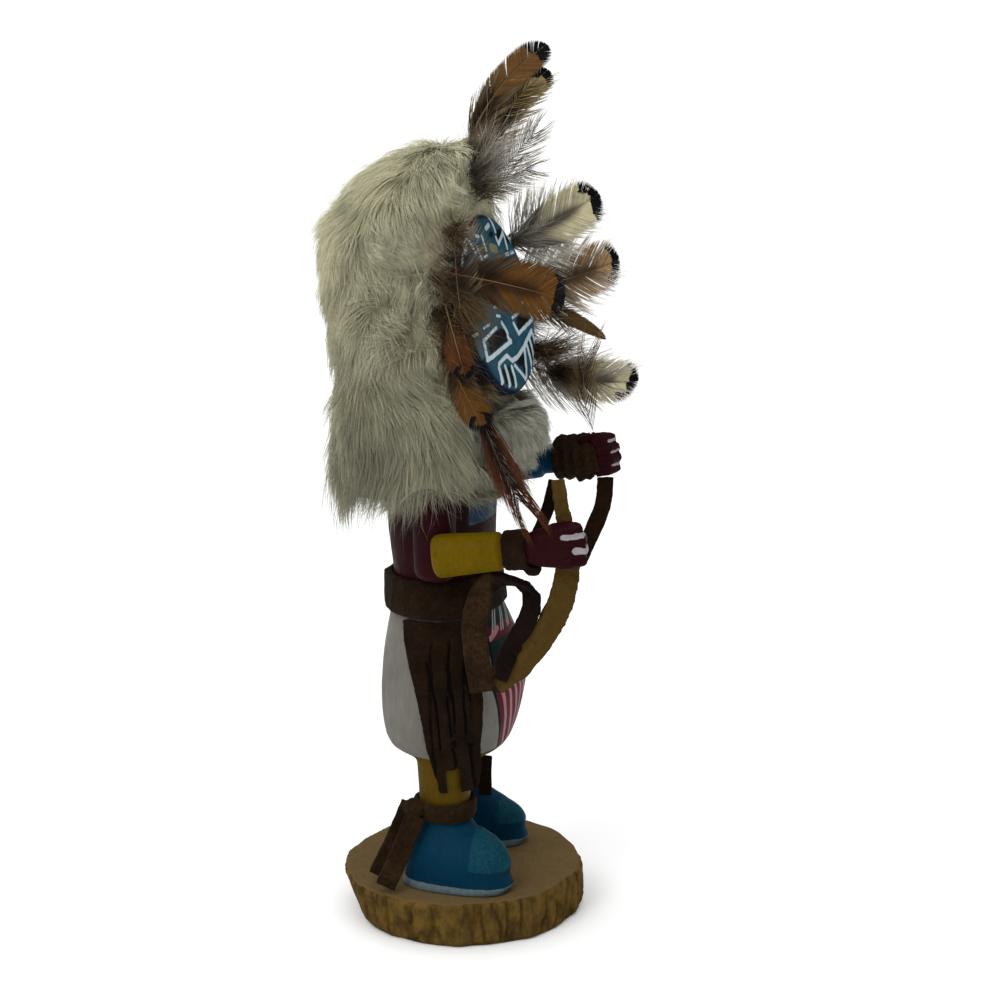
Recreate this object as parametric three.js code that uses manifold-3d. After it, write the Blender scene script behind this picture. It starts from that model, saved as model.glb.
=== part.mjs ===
// A carved and painted wooden kachina doll, dressed in fur, feathers and suede, on a slice of a branch.
// Millimetres, +Z up. The origin is on the underside of the slice, below the doll, which faces -Y.
import * as THREE from 'three';
import { LoftGeometry } from 'three/addons/geometries/LoftGeometry.js';
import { mergeVertices } from 'three/addons/utils/BufferGeometryUtils.js';
import Module from 'manifold-3d';

const wasm = await Module();
wasm.setup();

// ---------------------------------------------------------------- driving dimensions
const GAP = 0.35; // kept between two pieces that touch

const SLICE_HEIGHT = 15;
const SLICE_TOP = { x: -0.5, y: 1.5, a: 42, b: 39 }; // half widths of the slice, and how far off centre
const SLICE_FOOT = { x: 0.2, y: -1.6, a: 41.4, b: 36.4 };

const SOLE = 2.4;
const HEM_Z = 57; // the kilt's lower edge
const BELT_LOW = 104.5;
const BELT_HIGH = 117;
const BELT_THICK = 1.8;
const SHOULDER_Z = 166;

const FACE_Z = 205.5; // the centre of the round face
const FACE_RADIUS = 29.5;
const FACE_Y = -15.5; // the front of the face
const FACE_THICK = 6.5;
const FACE_TILT = THREE.MathUtils.degToRad(4.5); // the face looks up a little

const SUEDE = 1.6; // thickness of the suede strips
const FEATHER = 0.9; // thickness of a feather's solid
const SIDES = 20; // sides of a carved section
const DETAIL = 0.15; // unevenness too small to keep

const COLOURS = {
  slice: 0x8a6a3c,
  wood: 0x54202c,
  face: 0x2f7f9c,
  fur: 0xcfcaa8,
  ruff: 0xd9d9d2,
  suede: 0x3f2a1c,
  tan: 0x8c6c36,
  feather: 0x8a5c2a,
  hackle: 0x5a2c1c,
};

// ---------------------------------------------------------------- helpers
const { smoothstep } = THREE.MathUtils;
const point = ([x, y, z]) => new THREE.Vector3(x, y, z);
const mix = (a, b, t) => a + (b - a) * t;

// A closed three.js geometry as a solid that can be joined and cut.
function solid(geometry) {
  const bare = new THREE.BufferGeometry().copy(geometry);
  for (const name of Object.keys(bare.attributes)) {
    if (name !== 'position') bare.deleteAttribute(name);
  }
  const merged = mergeVertices(bare, 1e-4);
  const build = (triVerts) =>
    new wasm.Manifold(
      new wasm.Mesh({ numProp: 3, vertProperties: merged.attributes.position.array, triVerts }),
    );
  const faces = new Uint32Array(merged.index.array);
  const made = build(faces);
  return made.volume() > 0 ? made : build(faces.map((_, i) => faces[i - (i % 3) + (2 - (i % 3))]));
}

const join = (...solids) => solids.reduce((all, next) => all.add(next));
const cut = (from, ...tools) => tools.reduce((left, tool) => left.subtract(tool), from);

// The largest of a solid's separate bodies.
function largest(made) {
  return made.decompose().reduce((best, next) => (next.volume() > best.volume() ? next : best));
}

function named(name, made, colour, roughness = 0.75) {
  const { vertProperties, triVerts } = largest(made).simplify(DETAIL).getMesh();
  const geometry = new THREE.BufferGeometry();
  geometry.setAttribute('position', new THREE.Float32BufferAttribute(vertProperties, 3));
  geometry.setIndex([...triVerts]);
  const mesh = new THREE.Mesh(
    geometry,
    new THREE.MeshStandardMaterial({ color: colour, roughness, metalness: 0, flatShading: true }),
  );
  mesh.name = name;
  return mesh;
}

// A squared oval in a level plane. n is 2 for an ellipse, and more for squarer corners. slope lifts its back.
function oval({ x = 0, y = 0, z, a, b, n = 2.2, slope = 0 }, sides = SIDES, grow = 0) {
  return Array.from({ length: sides }, (_, i) => {
    const turn = (i / sides) * Math.PI * 2;
    const c = Math.cos(turn);
    const s = Math.sin(turn);
    const back = Math.sign(s) * Math.abs(s) ** (2 / n);
    return new THREE.Vector3(
      x + (a + grow) * Math.sign(c) * Math.abs(c) ** (2 / n),
      y + (b + grow) * back,
      z + slope * back,
    );
  });
}

const loft = (rings) => solid(new LoftGeometry(rings, { capStart: true, capEnd: true }));

// A column of ovals. grow makes it fatter all round, and longer at both ends.
function column(levels, { grow = 0, sides = SIDES } = {}) {
  return loft(
    levels.map((level, i) => {
      const end = i === 0 ? -grow : i === levels.length - 1 ? grow : 0;
      return oval({ ...level, z: level.z + end }, sides, grow);
    }),
  );
}

// The oval of a column at height z, between two of its levels.
function levelAt(levels, z) {
  const above = Math.max(1, levels.findIndex((level) => level.z >= z));
  const [low, high] = [levels[above - 1], levels[above]];
  const t = (z - low.z) / (high.z - low.z);
  return { x: 0, n: 2.2, ...Object.fromEntries(['y', 'a', 'b'].map((k) => [k, mix(low[k], high[k], t)])), z };
}

// A strip of leather along a curve. Its flat side faces along `facings`, spread evenly from end to end.
function strip(route, { width, thick = SUEDE, facings, steps = 12 }) {
  const curve = new THREE.CatmullRomCurve3(route.map(point));
  const turns = new THREE.CatmullRomCurve3([facings[0], ...facings, facings.at(-1)].map(point));
  const rings = Array.from({ length: steps + 1 }, (_, i) => {
    const t = i / steps;
    const centre = curve.getPointAt(t);
    const along = curve.getTangentAt(t);
    const side = turns.getPoint(t).cross(along).normalize();
    const out = new THREE.Vector3().crossVectors(along, side).normalize();
    const across = typeof width === 'function' ? width(t) : width;
    return [[-1, -1], [1, -1], [1, 1], [-1, 1]].map(([s, o]) =>
      centre.clone().addScaledVector(side, (s * across) / 2).addScaledVector(out, (o * thick) / 2),
    );
  });
  return loft(rings);
}

// ---------------------------------------------------------------- the slice of branch
function slice() {
  const corners = 48;
  const waves = [
    { size: 0.012, count: 3, start: 0.6 },
    { size: 0.01, count: 8, start: 0 },
    { size: 0.008, count: 19, start: 0 },
  ];
  const knobs = (turn) =>
    waves.reduce((sum, { size, count, start }) => sum + size * Math.sin(count * turn + start), 0);
  const rim = [
    { z: 0, swell: -0.4 },
    { z: 1.5, swell: 0.4 },
    { z: SLICE_HEIGHT - 1.2, swell: 0.5 },
    { z: SLICE_HEIGHT, swell: -0.4 },
  ];
  const rings = rim.map(({ z, swell }) => {
    const up = z / SLICE_HEIGHT;
    const [x, y, a, b] = ['x', 'y', 'a', 'b'].map((key) => mix(SLICE_FOOT[key], SLICE_TOP[key], up));
    return Array.from({ length: corners }, (_, i) => {
      const turn = (i / corners) * Math.PI * 2;
      const bark = 1 + knobs(turn);
      return new THREE.Vector3(
        x + (a + swell) * bark * Math.cos(turn),
        y + (b + swell) * bark * Math.sin(turn),
        z,
      );
    });
  });
  return loft(rings);
}

// ---------------------------------------------------------------- the carved figure
const TRUNK = [
  { z: HEM_Z, y: 6.6, a: 24.4, b: 17.8, slope: 1.9 },
  { z: HEM_Z + 2.4, y: 6.2, a: 26.4, b: 19.6, slope: 1.9 },
  { z: HEM_Z + 7, y: 5.6, a: 27.4, b: 21, slope: 1 },
  { z: 70, y: 5, a: 28.2, b: 22.3 },
  { z: 78, y: 4.4, a: 28.5, b: 23.1 },
  { z: 88, y: 4.6, a: 27.6, b: 22.2 },
  { z: 98, y: 6, a: 24.8, b: 19.4 },
  { z: BELT_LOW, y: 6.9, a: 22.4, b: 17.2 },
  { z: BELT_HIGH, y: 7.4, a: 21, b: 15.8 },
  { z: 132, y: 8.3, a: 22, b: 16.8 },
  { z: 148, y: 7.8, a: 22.6, b: 17 },
  { z: 158, y: 6.8, a: 21.5, b: 15 },
  { z: SHOULDER_Z - 1, y: 6, a: 15, b: 11.5 },
  { z: SHOULDER_Z + 3, y: 6, a: 10, b: 9.5 },
  { z: 184, y: 6, a: 10, b: 9.5 },
];

// The upper arms hang at the sides, carved in one with the trunk. side is -1 on the doll's right.
const upperArm = ({ side, elbow }, grow = 0) =>
  column(
    [
      { x: side * 24.6, z: elbow, y: 1.6, a: 4.4, b: 5 },
      { x: side * 24.8, z: elbow + 2, y: 1.6, a: 6.2, b: 6.9 },
      { x: side * 24.6, z: 143, y: 2, a: 6.5, b: 7.2 },
      { x: side * 22.8, z: 156, y: 3.4, a: 6.6, b: 7.4 },
      { x: side * 19, z: SHOULDER_Z - 1, y: 4.6, a: 4, b: 5 },
    ],
    { grow, sides: 16 },
  );
const UPPER_ARMS = [
  { side: -1, elbow: 118.6 },
  { side: 1, elbow: 134 },
];

// The right foot stands ahead of the left one.
const FEET = [
  { ankle: { x: -17, y: 1.6 }, foot: { x: -23.6, y: -4.6 } },
  { ankle: { x: 15, y: 8 }, foot: { x: 19.6, y: 4.4 } },
];

const leg = ({ ankle: { x, y } }, grow = 0) =>
  column(
    [
      { x, y, z: 30, a: 7.8, b: 8 },
      { x, y, z: 38, a: 8, b: 8.2 },
      { x, y, z: 54, a: 8.9, b: 9.1 },
      { x, y, z: 66, a: 9.2, b: 9.4 },
    ],
    { grow, sides: 16 },
  );

// A moccasin on its pale sole: long ovals whose fronts draw back to the ankle as they rise.
function moccasin({ ankle, foot }) {
  const sole = column(
    [
      { ...foot, z: SLICE_HEIGHT, a: 9.6, b: 18, n: 2.5 },
      { ...foot, z: SLICE_HEIGHT + SOLE, a: 9.8, b: 18.3, n: 2.5 },
    ],
    { sides: 18 },
  );
  const rise = [
    // height over the slice, reach to the toe and to the heel, half width, and share of the way to the ankle
    { up: SOLE, toe: 17.6, heel: 17.4, a: 9.2, towards: 0 },
    { up: 8, toe: 17.5, heel: 17.2, a: 9.4, towards: 0 },
    { up: 11.5, toe: 15.8, heel: 16.8, a: 8.9, towards: 0.1 },
    { up: 14.8, toe: 12.4, heel: 16, a: 8, towards: 0.25 },
    { up: 17.4, toe: 7.8, heel: 15.2, a: 7.5, towards: 0.5 },
    { up: 21, toe: 8.3 - (ankle.y - foot.y), heel: 8.3 + ankle.y - foot.y, a: 8.1, towards: 1 },
  ];
  const upper = rise.map(({ up, toe, heel, a, towards }) => ({
    x: mix(foot.x, ankle.x, towards),
    y: foot.y + (heel - toe) / 2,
    z: SLICE_HEIGHT + up,
    a,
    b: (heel + toe) / 2,
    n: 2.3,
  }));
  return join(sole, column(upper, { sides: 18 }));
}

// The round block of the head, whose axis runs from back to front.
function headBlock(grow = 0) {
  const made = column(
    [
      { z: -25, a: 17, b: 17, n: 2 },
      { z: -19, a: 23.5, b: 23.5, n: 2 },
      { z: -8, a: 26, b: 26, n: 2 },
      { z: -FACE_Y - FACE_THICK - GAP, a: 26, b: 26, n: 2 },
    ],
    { grow },
  );
  return made.rotate([90, 0, 0]).translate([0, 0, FACE_Z]);
}

const bust = (grow = 0) =>
  join(column(TRUNK, { grow }), headBlock(grow), ...UPPER_ARMS.map((arm) => upperArm(arm, grow)));
const figure = () => join(bust(), ...FEET.flatMap((foot) => [leg(foot), moccasin(foot)]));

// The face: a thick round board, a little domed, glued to the front of the head.
function face(grow = 0) {
  const made = column(
    [
      { z: -FACE_THICK, a: FACE_RADIUS - 1, b: FACE_RADIUS - 1, n: 2 },
      { z: -2.2, a: FACE_RADIUS, b: FACE_RADIUS, n: 2 },
      { z: -0.9, a: FACE_RADIUS - 0.8, b: FACE_RADIUS - 0.8, n: 2 },
      { z: 0, a: FACE_RADIUS - 4, b: FACE_RADIUS - 4, n: 2 },
    ],
    { grow, sides: 36 },
  );
  return made
    .rotate([90 - THREE.MathUtils.radToDeg(FACE_TILT), 0, 0])
    .translate([0, FACE_Y, FACE_Z]);
}

// ---------------------------------------------------------------- forearms with fists
const ARM_LENGTH = 22.6;
const WRIST_LENGTH = 8.4;
const HAND_LENGTH = 20.4;
const FINGER = 2;
const FINGER_PITCH = 3.3;

// Built pointing along +Z with the thumb towards +Y and the palm towards +X, then laid along `from` to `to`.
function forearm({ from, to, mirror }, grow = 0) {
  const wrist = ARM_LENGTH + WRIST_LENGTH;
  const arm = column(
    [
      { z: 0, a: 4.8, b: 6 },
      { z: 1.4, a: 6, b: 7.2 },
      { z: ARM_LENGTH - 1, a: 5.6, b: 6.2 },
      { z: ARM_LENGTH, a: 4.6, b: 5 },
      { z: wrist, a: 4.5, b: 5 },
      { z: wrist + 3, a: 4.8, b: 6, n: 2.6 },
      { z: wrist + 9, a: 4.9, b: 6.9, n: 3 },
      { z: wrist + 14, a: 3.4, b: 6.7, n: 3 },
    ],
    { grow, sides: 16 },
  );
  // Each finger leaves the back of the hand, curls round its front and closes on the palm.
  const fingers = [0, 1, 2, 3].map((i) => {
    const y = (1.5 - i) * FINGER_PITCH;
    const reach = wrist + HAND_LENGTH - FINGER - (i === 0 || i === 3 ? 1.2 : 0);
    const path = new THREE.CatmullRomCurve3(
      [
        [-2.9, y, wrist + 9.5],
        [-3, y, reach - 3],
        [-0.6, y, reach],
        [2.6, y, reach - 1.6],
        [3.6, y, reach - 5.5],
      ].map(point),
    );
    const knuckle = new THREE.Shape().absarc(0, 0, FINGER + grow, 0, Math.PI * 2, false);
    const bend = { steps: 4, curveSegments: 3, extrudePath: path, bevelEnabled: false };
    return solid(new THREE.ExtrudeGeometry(knuckle, bend));
  });
  const filling = column(
    [
      { x: -0.4, z: wrist + 12, a: 3, b: 6.2, n: 3 },
      { x: -0.4, z: wrist + HAND_LENGTH - 2.6, a: 2.4, b: 5.6, n: 3 },
    ],
    { sides: 12 },
  );
  const thumb = column(
    [
      { x: 2, y: 4.4, z: wrist + 5, a: 2.2, b: 1.8 },
      { x: 2.2, y: 5.4, z: wrist + 9, a: 2.4, b: 2.1 },
      { x: 1.6, y: 5.6, z: wrist + 14, a: 2.3, b: 2 },
      { x: 1, y: 5, z: wrist + 17.5, a: 1.4, b: 1.2 },
    ],
    { grow, sides: 8 },
  );
  const along = point(to).sub(point(from)).normalize();
  const palm = new THREE.Vector3(mirror, 0, 0);
  const up = new THREE.Vector3().crossVectors(along, palm).normalize().multiplyScalar(mirror);
  const across = new THREE.Vector3().crossVectors(up, along);
  const place = new THREE.Matrix4().makeBasis(across, up, along).setPosition(point(from));
  const made = join(arm, ...fingers, filling, thumb);
  const turned = mirror > 0 ? made : made.mirror([1, 0, 0]);
  return turned.transform(place.elements);
}

const RIGHT_ARM = { from: [-31.2, -0.6, 128.5], to: [-25.4, -52, 135.8], mirror: 1 };
const LEFT_ARM = { from: [29.4, 5, 144.4], to: [24.6, -47.8, 153.8], mirror: -1 };

// A suede band round a wrist, `start` from the elbow and `reach` long, with its knot underneath.
function wristband({ from, to }, { start, reach, size: [a, b], knot }, grow = 0) {
  const along = point(to).sub(point(from)).normalize();
  const turn = new THREE.Quaternion().setFromUnitVectors(new THREE.Vector3(0, -1, 0), along);
  const lay = new THREE.Quaternion().setFromAxisAngle(new THREE.Vector3(1, 0, 0), Math.PI / 2);
  const place = new THREE.Matrix4().compose(
    point(from).addScaledVector(along, start),
    turn.multiply(lay),
    new THREE.Vector3(1, 1, 1),
  );
  const ring = column(
    [
      { z: 0, a: a - 0.5, b: b - 0.5 },
      { z: 0.7, a, b },
      { z: reach - 0.7, a, b },
      { z: reach, a: a - 0.5, b: b - 0.5 },
    ],
    { grow, sides: 14 },
  );
  const lump = new THREE.SphereGeometry(1, 6, 5);
  lump.scale(...knot.size.map((r) => r + grow)).translate(...knot.at);
  return join(ring, solid(lump)).transform(place.elements);
}
const RIGHT_BAND = {
  start: ARM_LENGTH + 0.4,
  reach: WRIST_LENGTH - 0.6,
  size: [6.1, 6.5],
  knot: { at: [0, -6.4, WRIST_LENGTH], size: [3, 2.6, 3.2] },
};
const LEFT_BAND = {
  start: ARM_LENGTH + 4.4,
  reach: 15.6,
  size: [6.6, 7.3],
  knot: { at: [-2, -5.6, 9], size: [3, 2.4, 4] },
};

// ---------------------------------------------------------------- fur
const HEADDRESS = [
  { z: 140, y: 16, a: 31, b: 22 },
  { z: 143.5, y: 16, a: 35, b: 26.4 },
  { z: 149, y: 13.6, a: 36.8, b: 29.6 },
  { z: 158, y: 11.3, a: 37.5, b: 32.8 },
  { z: 172, y: 14.7, a: 38.3, b: 28.7 },
  { z: 186, y: 17.6, a: 39, b: 25 },
  { z: 205, y: 19.1, a: 39.5, b: 26.6 },
  { z: 216, y: 20, a: 38.5, b: 27.6 },
  { z: 225, y: 19.5, a: 37, b: 27 },
  { z: 234, y: 17.6, a: 34, b: 25.2 },
  { z: 243, y: 14, a: 28, b: 21.5 },
  { z: 250, y: 10, a: 21, b: 17.6 },
  { z: 255, y: 5.6, a: 13, b: 11 },
  { z: 256.8, y: 4.4, a: 7, b: 6.4 },
];
const RUFF = [
  { z: 149, y: -8, a: 17, b: 12 },
  { z: 153, y: -8, a: 22.5, b: 17 },
  { z: 162, y: -8.5, a: 25, b: 19.4 },
  { z: 170, y: -8.5, a: 24, b: 17.5 },
  { z: 175.5, y: -8, a: 20, b: 12.5 },
];

// ---------------------------------------------------------------- suede strips and ties
// A point `lift` outside the trunk, `turn` degrees round from the doll's right side towards its front.
function onTrunk(z, turn, lift) {
  const angle = THREE.MathUtils.degToRad(turn);
  const { y, a, b, n } = levelAt(TRUNK, z);
  const power = (value) => Math.sign(value) * Math.abs(value) ** (2 / n);
  return new THREE.Vector3(-(a + lift) * power(Math.cos(angle)), y - (b + lift) * power(Math.sin(angle)), z);
}

const FRINGE = [
  // height, the panel's back and front edges in degrees round the kilt, and how far it stands off
  { z: 47, back: 13, front: 52, off: -0.6 },
  { z: 55, back: 9, front: 54, off: 0.2 },
  { z: 62, back: 4, front: 51, off: 0.7 },
  { z: 70, back: 0, front: 48, off: 0.6 },
  { z: 79, back: -4, front: 46, off: 0.6 },
  { z: 90, back: -11, front: 46, off: 0.6 },
  { z: 98, back: -15, front: 46, off: 0.6 },
  { z: BELT_LOW - 0.4, back: -18, front: 46, off: 0.6 },
];
const FRINGE_CUTS = [0, 0.26, 0.52, 0.78, 1];
const FRINGE_FEET = [47, 55, 47, 47];
const FRINGE_UNCUT_Z = 95;

// One band of the fringe, between two shares of the panel's width.
function fringeBand(start, stop, lowest, slit) {
  const rings = FRINGE.filter(({ z }) => z >= lowest).map(({ z, back, front, off }) => {
    const open = z < FRINGE_UNCUT_Z ? slit : 0;
    const turns = [0, 0.5, 1].map((share) => mix(back, front, mix(start + open, stop - open, share)));
    const height = Math.max(z, HEM_Z + 4);
    const side = (lift) => turns.map((turn) => onTrunk(height, turn, lift).setZ(z));
    return [...side(off + SUEDE), ...side(off).reverse()];
  });
  return loft(rings);
}

function fringe() {
  const panel = fringeBand(0, 1, FRINGE_UNCUT_Z, 0);
  const bands = FRINGE_FEET.map((lowest, i) => fringeBand(FRINGE_CUTS[i], FRINGE_CUTS[i + 1], lowest, 0.02));
  return join(panel, ...bands);
}

function belt(grow = 0) {
  const heights = [BELT_LOW, BELT_LOW + 1, BELT_HIGH - 1, BELT_HIGH];
  const rows = heights.map((z, i) => {
    const swell = BELT_THICK + GAP - (i % 3 === 0 ? 0.5 : 0);
    const level = levelAt(TRUNK, z);
    return { ...level, a: level.a + swell, b: level.b + swell };
  });
  // The loose end of the belt stands off behind the doll's right hip.
  const end = strip(
    [
      [-18.6, 17, 111],
      [-13, 22.6, 110.8],
      [-7.5, 25.4, 110.6],
    ],
    { width: 11.4, facings: [[-0.76, 0.64, 0], [-0.5, 0.86, 0]], steps: 4 },
  );
  return join(column(rows, { grow, sides: SIDES }), end);
}

// A band round one ankle, a knot, and loose tails.
function legTie({ ankle }, { knot, tails }) {
  const low = SLICE_HEIGHT + 21.4;
  const band = column(
    [
      { ...ankle, z: low, a: 9.6, b: 9.8 },
      { ...ankle, z: low + 0.8, a: 10.2, b: 10.4 },
      { ...ankle, z: low + 5.4, a: 10.4, b: 10.6 },
      { ...ankle, z: low + 6.2, a: 9.8, b: 10 },
    ],
    { sides: 16 },
  );
  const lump = new THREE.SphereGeometry(3.7, 7, 5).scale(1, 1.05, 0.95).translate(...knot);
  const loose = tails.map(({ route, width }) => tail(route, width));
  return join(band, solid(lump), ...loose);
}

// ---------------------------------------------------------------- the bow and its sling
const TO_RIGHT = [-0.94, -0.34, 0.06];

// A flat bow of raw bark, drawn in to both ends and widest towards its lower one.
const bow = (grow = 0) =>
  strip(
    [
      [-22.5, -38.6, 154.5],
      [-22.5, -40.6, 143],
      [-22.5, -42.4, 134],
      [-22.6, -42.3, 126.5],
      [-22.8, -40.1, 115],
      [-23, -33.4, 102],
      [-23.4, -25.4, 91.4],
      [-24, -18.9, 85],
    ],
    {
      width: (t) => 4.2 + 4 * smoothstep(t, 0.05, 0.5) - 2.8 * smoothstep(t, 0.86, 1) + 2 * grow,
      thick: 2.4 + 2 * grow,
      facings: [TO_RIGHT, TO_RIGHT],
      steps: 16,
    },
  );

// One strip of suede, up from the bow's lower end, under the wrist, and down again nearer the hip.
const sling = () =>
  strip(
    [
      [-25.8, -20.2, 88.4],
      [-25.6, -24.4, 98.4],
      [-26, -29.2, 107.4],
      [-26.4, -31.8, 115],
      [-26.6, -29.4, 120],
      [-27, -24, 121.8],
      [-27.4, -18.6, 121.4],
      [-28.4, -14.8, 115.6],
      [-29, -13.2, 106.5],
      [-29, -13.8, 97],
      [-28, -15.4, 84.4],
    ],
    {
      width: (t) => mix(5.4, 7.4, smoothstep(t, 0.4, 0.75)),
      thick: 1.5,
      facings: [
        ...[TO_RIGHT, TO_RIGHT, TO_RIGHT],
        ...[[-0.5, 0.1, -0.85], [-0.8, 0.3, -0.5]],
        ...[TO_RIGHT, TO_RIGHT, TO_RIGHT],
      ],
      steps: 22,
    },
  );

const tail = (route, width) => strip(route, { width, facings: [TO_RIGHT, TO_RIGHT], steps: 6 });

// ---------------------------------------------------------------- feathers
// A feather's solid: a thin blade along its shaft, narrow at the quill and broad and round towards the tip.
function feather({ quill, tip, sag = [0, 0, 0], width, facing, shape = 'round' }) {
  const middle = point(quill).lerp(point(tip), 0.5).add(point(sag));
  const curve = new THREE.QuadraticBezierCurve3(
    point(quill),
    middle.clone().multiplyScalar(2).sub(point(quill).add(point(tip)).multiplyScalar(0.5)),
    point(tip),
  );
  const rise = (t) => Math.min(1, 0.14 + 1.6 * t);
  const ends = (t) => Math.max(0, shape === 'long' ? 1 - t ** 3 : 1 - ((t - 0.6) / 0.42) ** 4);
  const steps = 7;
  const rings = Array.from({ length: steps + 1 }, (_, i) => {
    const t = i / steps;
    const share = t < 0.6 ? rise(t) : Math.max(0.12, Math.sqrt(ends(t)));
    const centre = curve.getPoint(t);
    const along = curve.getTangent(t);
    const side = point(facing).cross(along).normalize();
    const out = new THREE.Vector3().crossVectors(along, side).normalize();
    return [[-1, 0], [0, -1], [1, 0], [0, 1]].map(([s, o]) =>
      centre
        .clone()
        .addScaledVector(side, (s * width * share) / 2)
        .addScaledVector(out, (o * FEATHER) / 2),
    );
  });
  return loft(rings);
}

const FEATHERS = {
  crest_feather_back: {
    quill: [-4, 1, 243],
    tip: [2, -26.2, 287],
    sag: [0, 5, 3],
    width: 8,
    facing: TO_RIGHT,
  },
  crest_feather_front: {
    quill: [2, 0, 241],
    tip: [8, -24.6, 278.6],
    sag: [0, 3, 2],
    width: 11,
    facing: TO_RIGHT,
  },
  crest_feather_low: {
    quill: [8, -1, 238],
    tip: [14, -21.6, 262.6],
    sag: [0, -1, -1],
    width: 11,
    facing: TO_RIGHT,
  },
  crest_plume: {
    quill: [-2, -3, 236],
    tip: [-6, -28.4, 250],
    sag: [0, 0, 3],
    width: 12,
    facing: [-0.7, -0.3, 0.7],
  },
  left_feather_top: {
    quill: [24, -6, 221],
    tip: [32, -34.6, 237],
    sag: [0, 0, -1],
    width: 19.5,
    facing: TO_RIGHT,
  },
  left_feather_middle: {
    quill: [28, -7, 206],
    tip: [36, -38.8, 216],
    sag: [0, -1, -3],
    width: 18.5,
    facing: TO_RIGHT,
  },
  left_feather_pointed: {
    quill: [28, -6, 200],
    tip: [30, -38, 190],
    sag: [1, 0, 2],
    width: 9,
    facing: TO_RIGHT,
    shape: 'long',
  },
  left_feather_low: {
    quill: [26, -7, 183],
    tip: [34, -46.6, 176.6],
    sag: [1, -1, -5],
    width: 15,
    facing: TO_RIGHT,
  },
  left_feather_cheek: {
    quill: [31, -6, 192],
    tip: [36, -22, 170],
    sag: [2, 0, 0],
    width: 13,
    facing: [0.94, -0.34, 0],
  },
  right_feather_brow: {
    quill: [-21.5, -5.4, 238],
    tip: [-35, -11.4, 210],
    sag: [-4.6, 0, 0],
    width: 13,
    facing: TO_RIGHT,
  },
  right_feather_golden: {
    quill: [-29.6, -4.3, 219.2],
    tip: [-35, -44.4, 213.8],
    sag: [-0.4, -1, 1],
    width: 18.5,
    facing: TO_RIGHT,
  },
  right_feather_temple: {
    quill: [-30.8, -4.6, 209],
    tip: [-36.4, -13.3, 187.6],
    sag: [-2.4, -1, 0],
    width: 9.4,
    facing: TO_RIGHT,
  },
  right_feather_cheek: {
    quill: [-31.2, -5.4, 194],
    tip: [-35, -19.4, 172.2],
    sag: [-2.4, 0, 0],
    width: 10.5,
    facing: TO_RIGHT,
  },
  right_hackle: {
    quill: [-31.4, -15, 180],
    tip: [-33.5, -33.1, 144],
    sag: [-2, 0, -1.5],
    width: 9,
    facing: TO_RIGHT,
    shape: 'long',
  },
  left_wrist_feather: {
    quill: [20, -37.4, 161.6],
    tip: [16, -37.6, 190.4],
    sag: [0, 4, 0],
    width: 14,
    facing: TO_RIGHT,
  },
};

// ---------------------------------------------------------------- the doll
const bustRoom = bust(GAP);
const faceRoom = face(GAP);
const armRoom = { right: forearm(RIGHT_ARM, GAP), left: forearm(LEFT_ARM, GAP) };
const bandRoom = {
  right: wristband(RIGHT_ARM, RIGHT_BAND, GAP),
  left: wristband(LEFT_ARM, LEFT_BAND, GAP),
};
const furRoom = [column(HEADDRESS, { grow: GAP }), column(RUFF, { grow: GAP, sides: 22 })];

const TIES = {
  right_leg_tie: {
    knot: [-26.6, 8.8, 41],
    tails: [
      { route: [[-26.4, 11, 43], [-28.6, 15.6, 31], [-30, 21.6, 17.6]], width: 4.2 },
      { route: [[-28.6, 7.6, 39], [-33.6, 11.2, 27], [-39.6, 14.2, 17.6]], width: 6.6 },
    ],
  },
  left_leg_tie: {
    knot: [8.4, -0.4, 41],
    tails: [{ route: [[6.6, -4.4, 49.6], [6, -4.2, 43], [6.4, -4.2, 35.6]], width: 4.4 }],
  },
};
const WRIST_TAILS = {
  left_wrist_tail_front: {
    route: [[22.4, -40.6, 145.4], [20.5, -40.4, 136], [17, -36.6, 125], [15, -34, 118]],
    width: 5.4,
  },
  left_wrist_tail_back: { route: [[23, -25, 143], [21, -23.4, 134], [17.5, -20.4, 124]], width: 4.2 },
};

const trunkRoom = column(TRUNK, { grow: GAP });
const hide = column(HEADDRESS);
const collar = column(RUFF);

const doll = new THREE.Group();
doll.add(
  named('base_slice', slice(), COLOURS.slice, 0.85),
  named('carved_figure', figure(), COLOURS.wood, 0.6),
  named('face_board', cut(face(), bustRoom), COLOURS.face, 0.55),
  named('right_forearm', cut(forearm(RIGHT_ARM), bustRoom, bow(GAP)), COLOURS.wood, 0.6),
  named('left_forearm', cut(forearm(LEFT_ARM), bustRoom), COLOURS.face, 0.6),
  named('fur_headdress', cut(hide, furRoom[1], bustRoom, faceRoom, armRoom.left), COLOURS.fur, 1),
  named('fur_ruff', cut(collar, bustRoom, faceRoom, armRoom.left), COLOURS.ruff, 1),
  named('belt', cut(belt(), trunkRoom), COLOURS.suede, 0.95),
  named('belt_fringe', cut(fringe(), trunkRoom, leg(FEET[0], GAP)), COLOURS.suede, 0.95),
  named('right_wristband', cut(wristband(RIGHT_ARM, RIGHT_BAND), armRoom.right), COLOURS.suede, 0.95),
  named('left_wristband', cut(wristband(LEFT_ARM, LEFT_BAND), armRoom.left), COLOURS.suede, 0.95),
  named('bow', bow(), COLOURS.tan, 0.9),
  named('bow_sling', cut(sling(), bow(GAP), armRoom.right, bandRoom.right), COLOURS.suede, 0.95),
);
for (const [name, { route, width }] of Object.entries(WRIST_TAILS)) {
  doll.add(named(name, cut(tail(route, width), armRoom.left, bandRoom.left), COLOURS.suede, 0.95));
}
Object.entries(TIES).forEach(([name, tie], i) => {
  doll.add(named(name, cut(legTie(FEET[i], tie), leg(FEET[i], GAP)), COLOURS.suede, 0.95));
});
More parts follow.
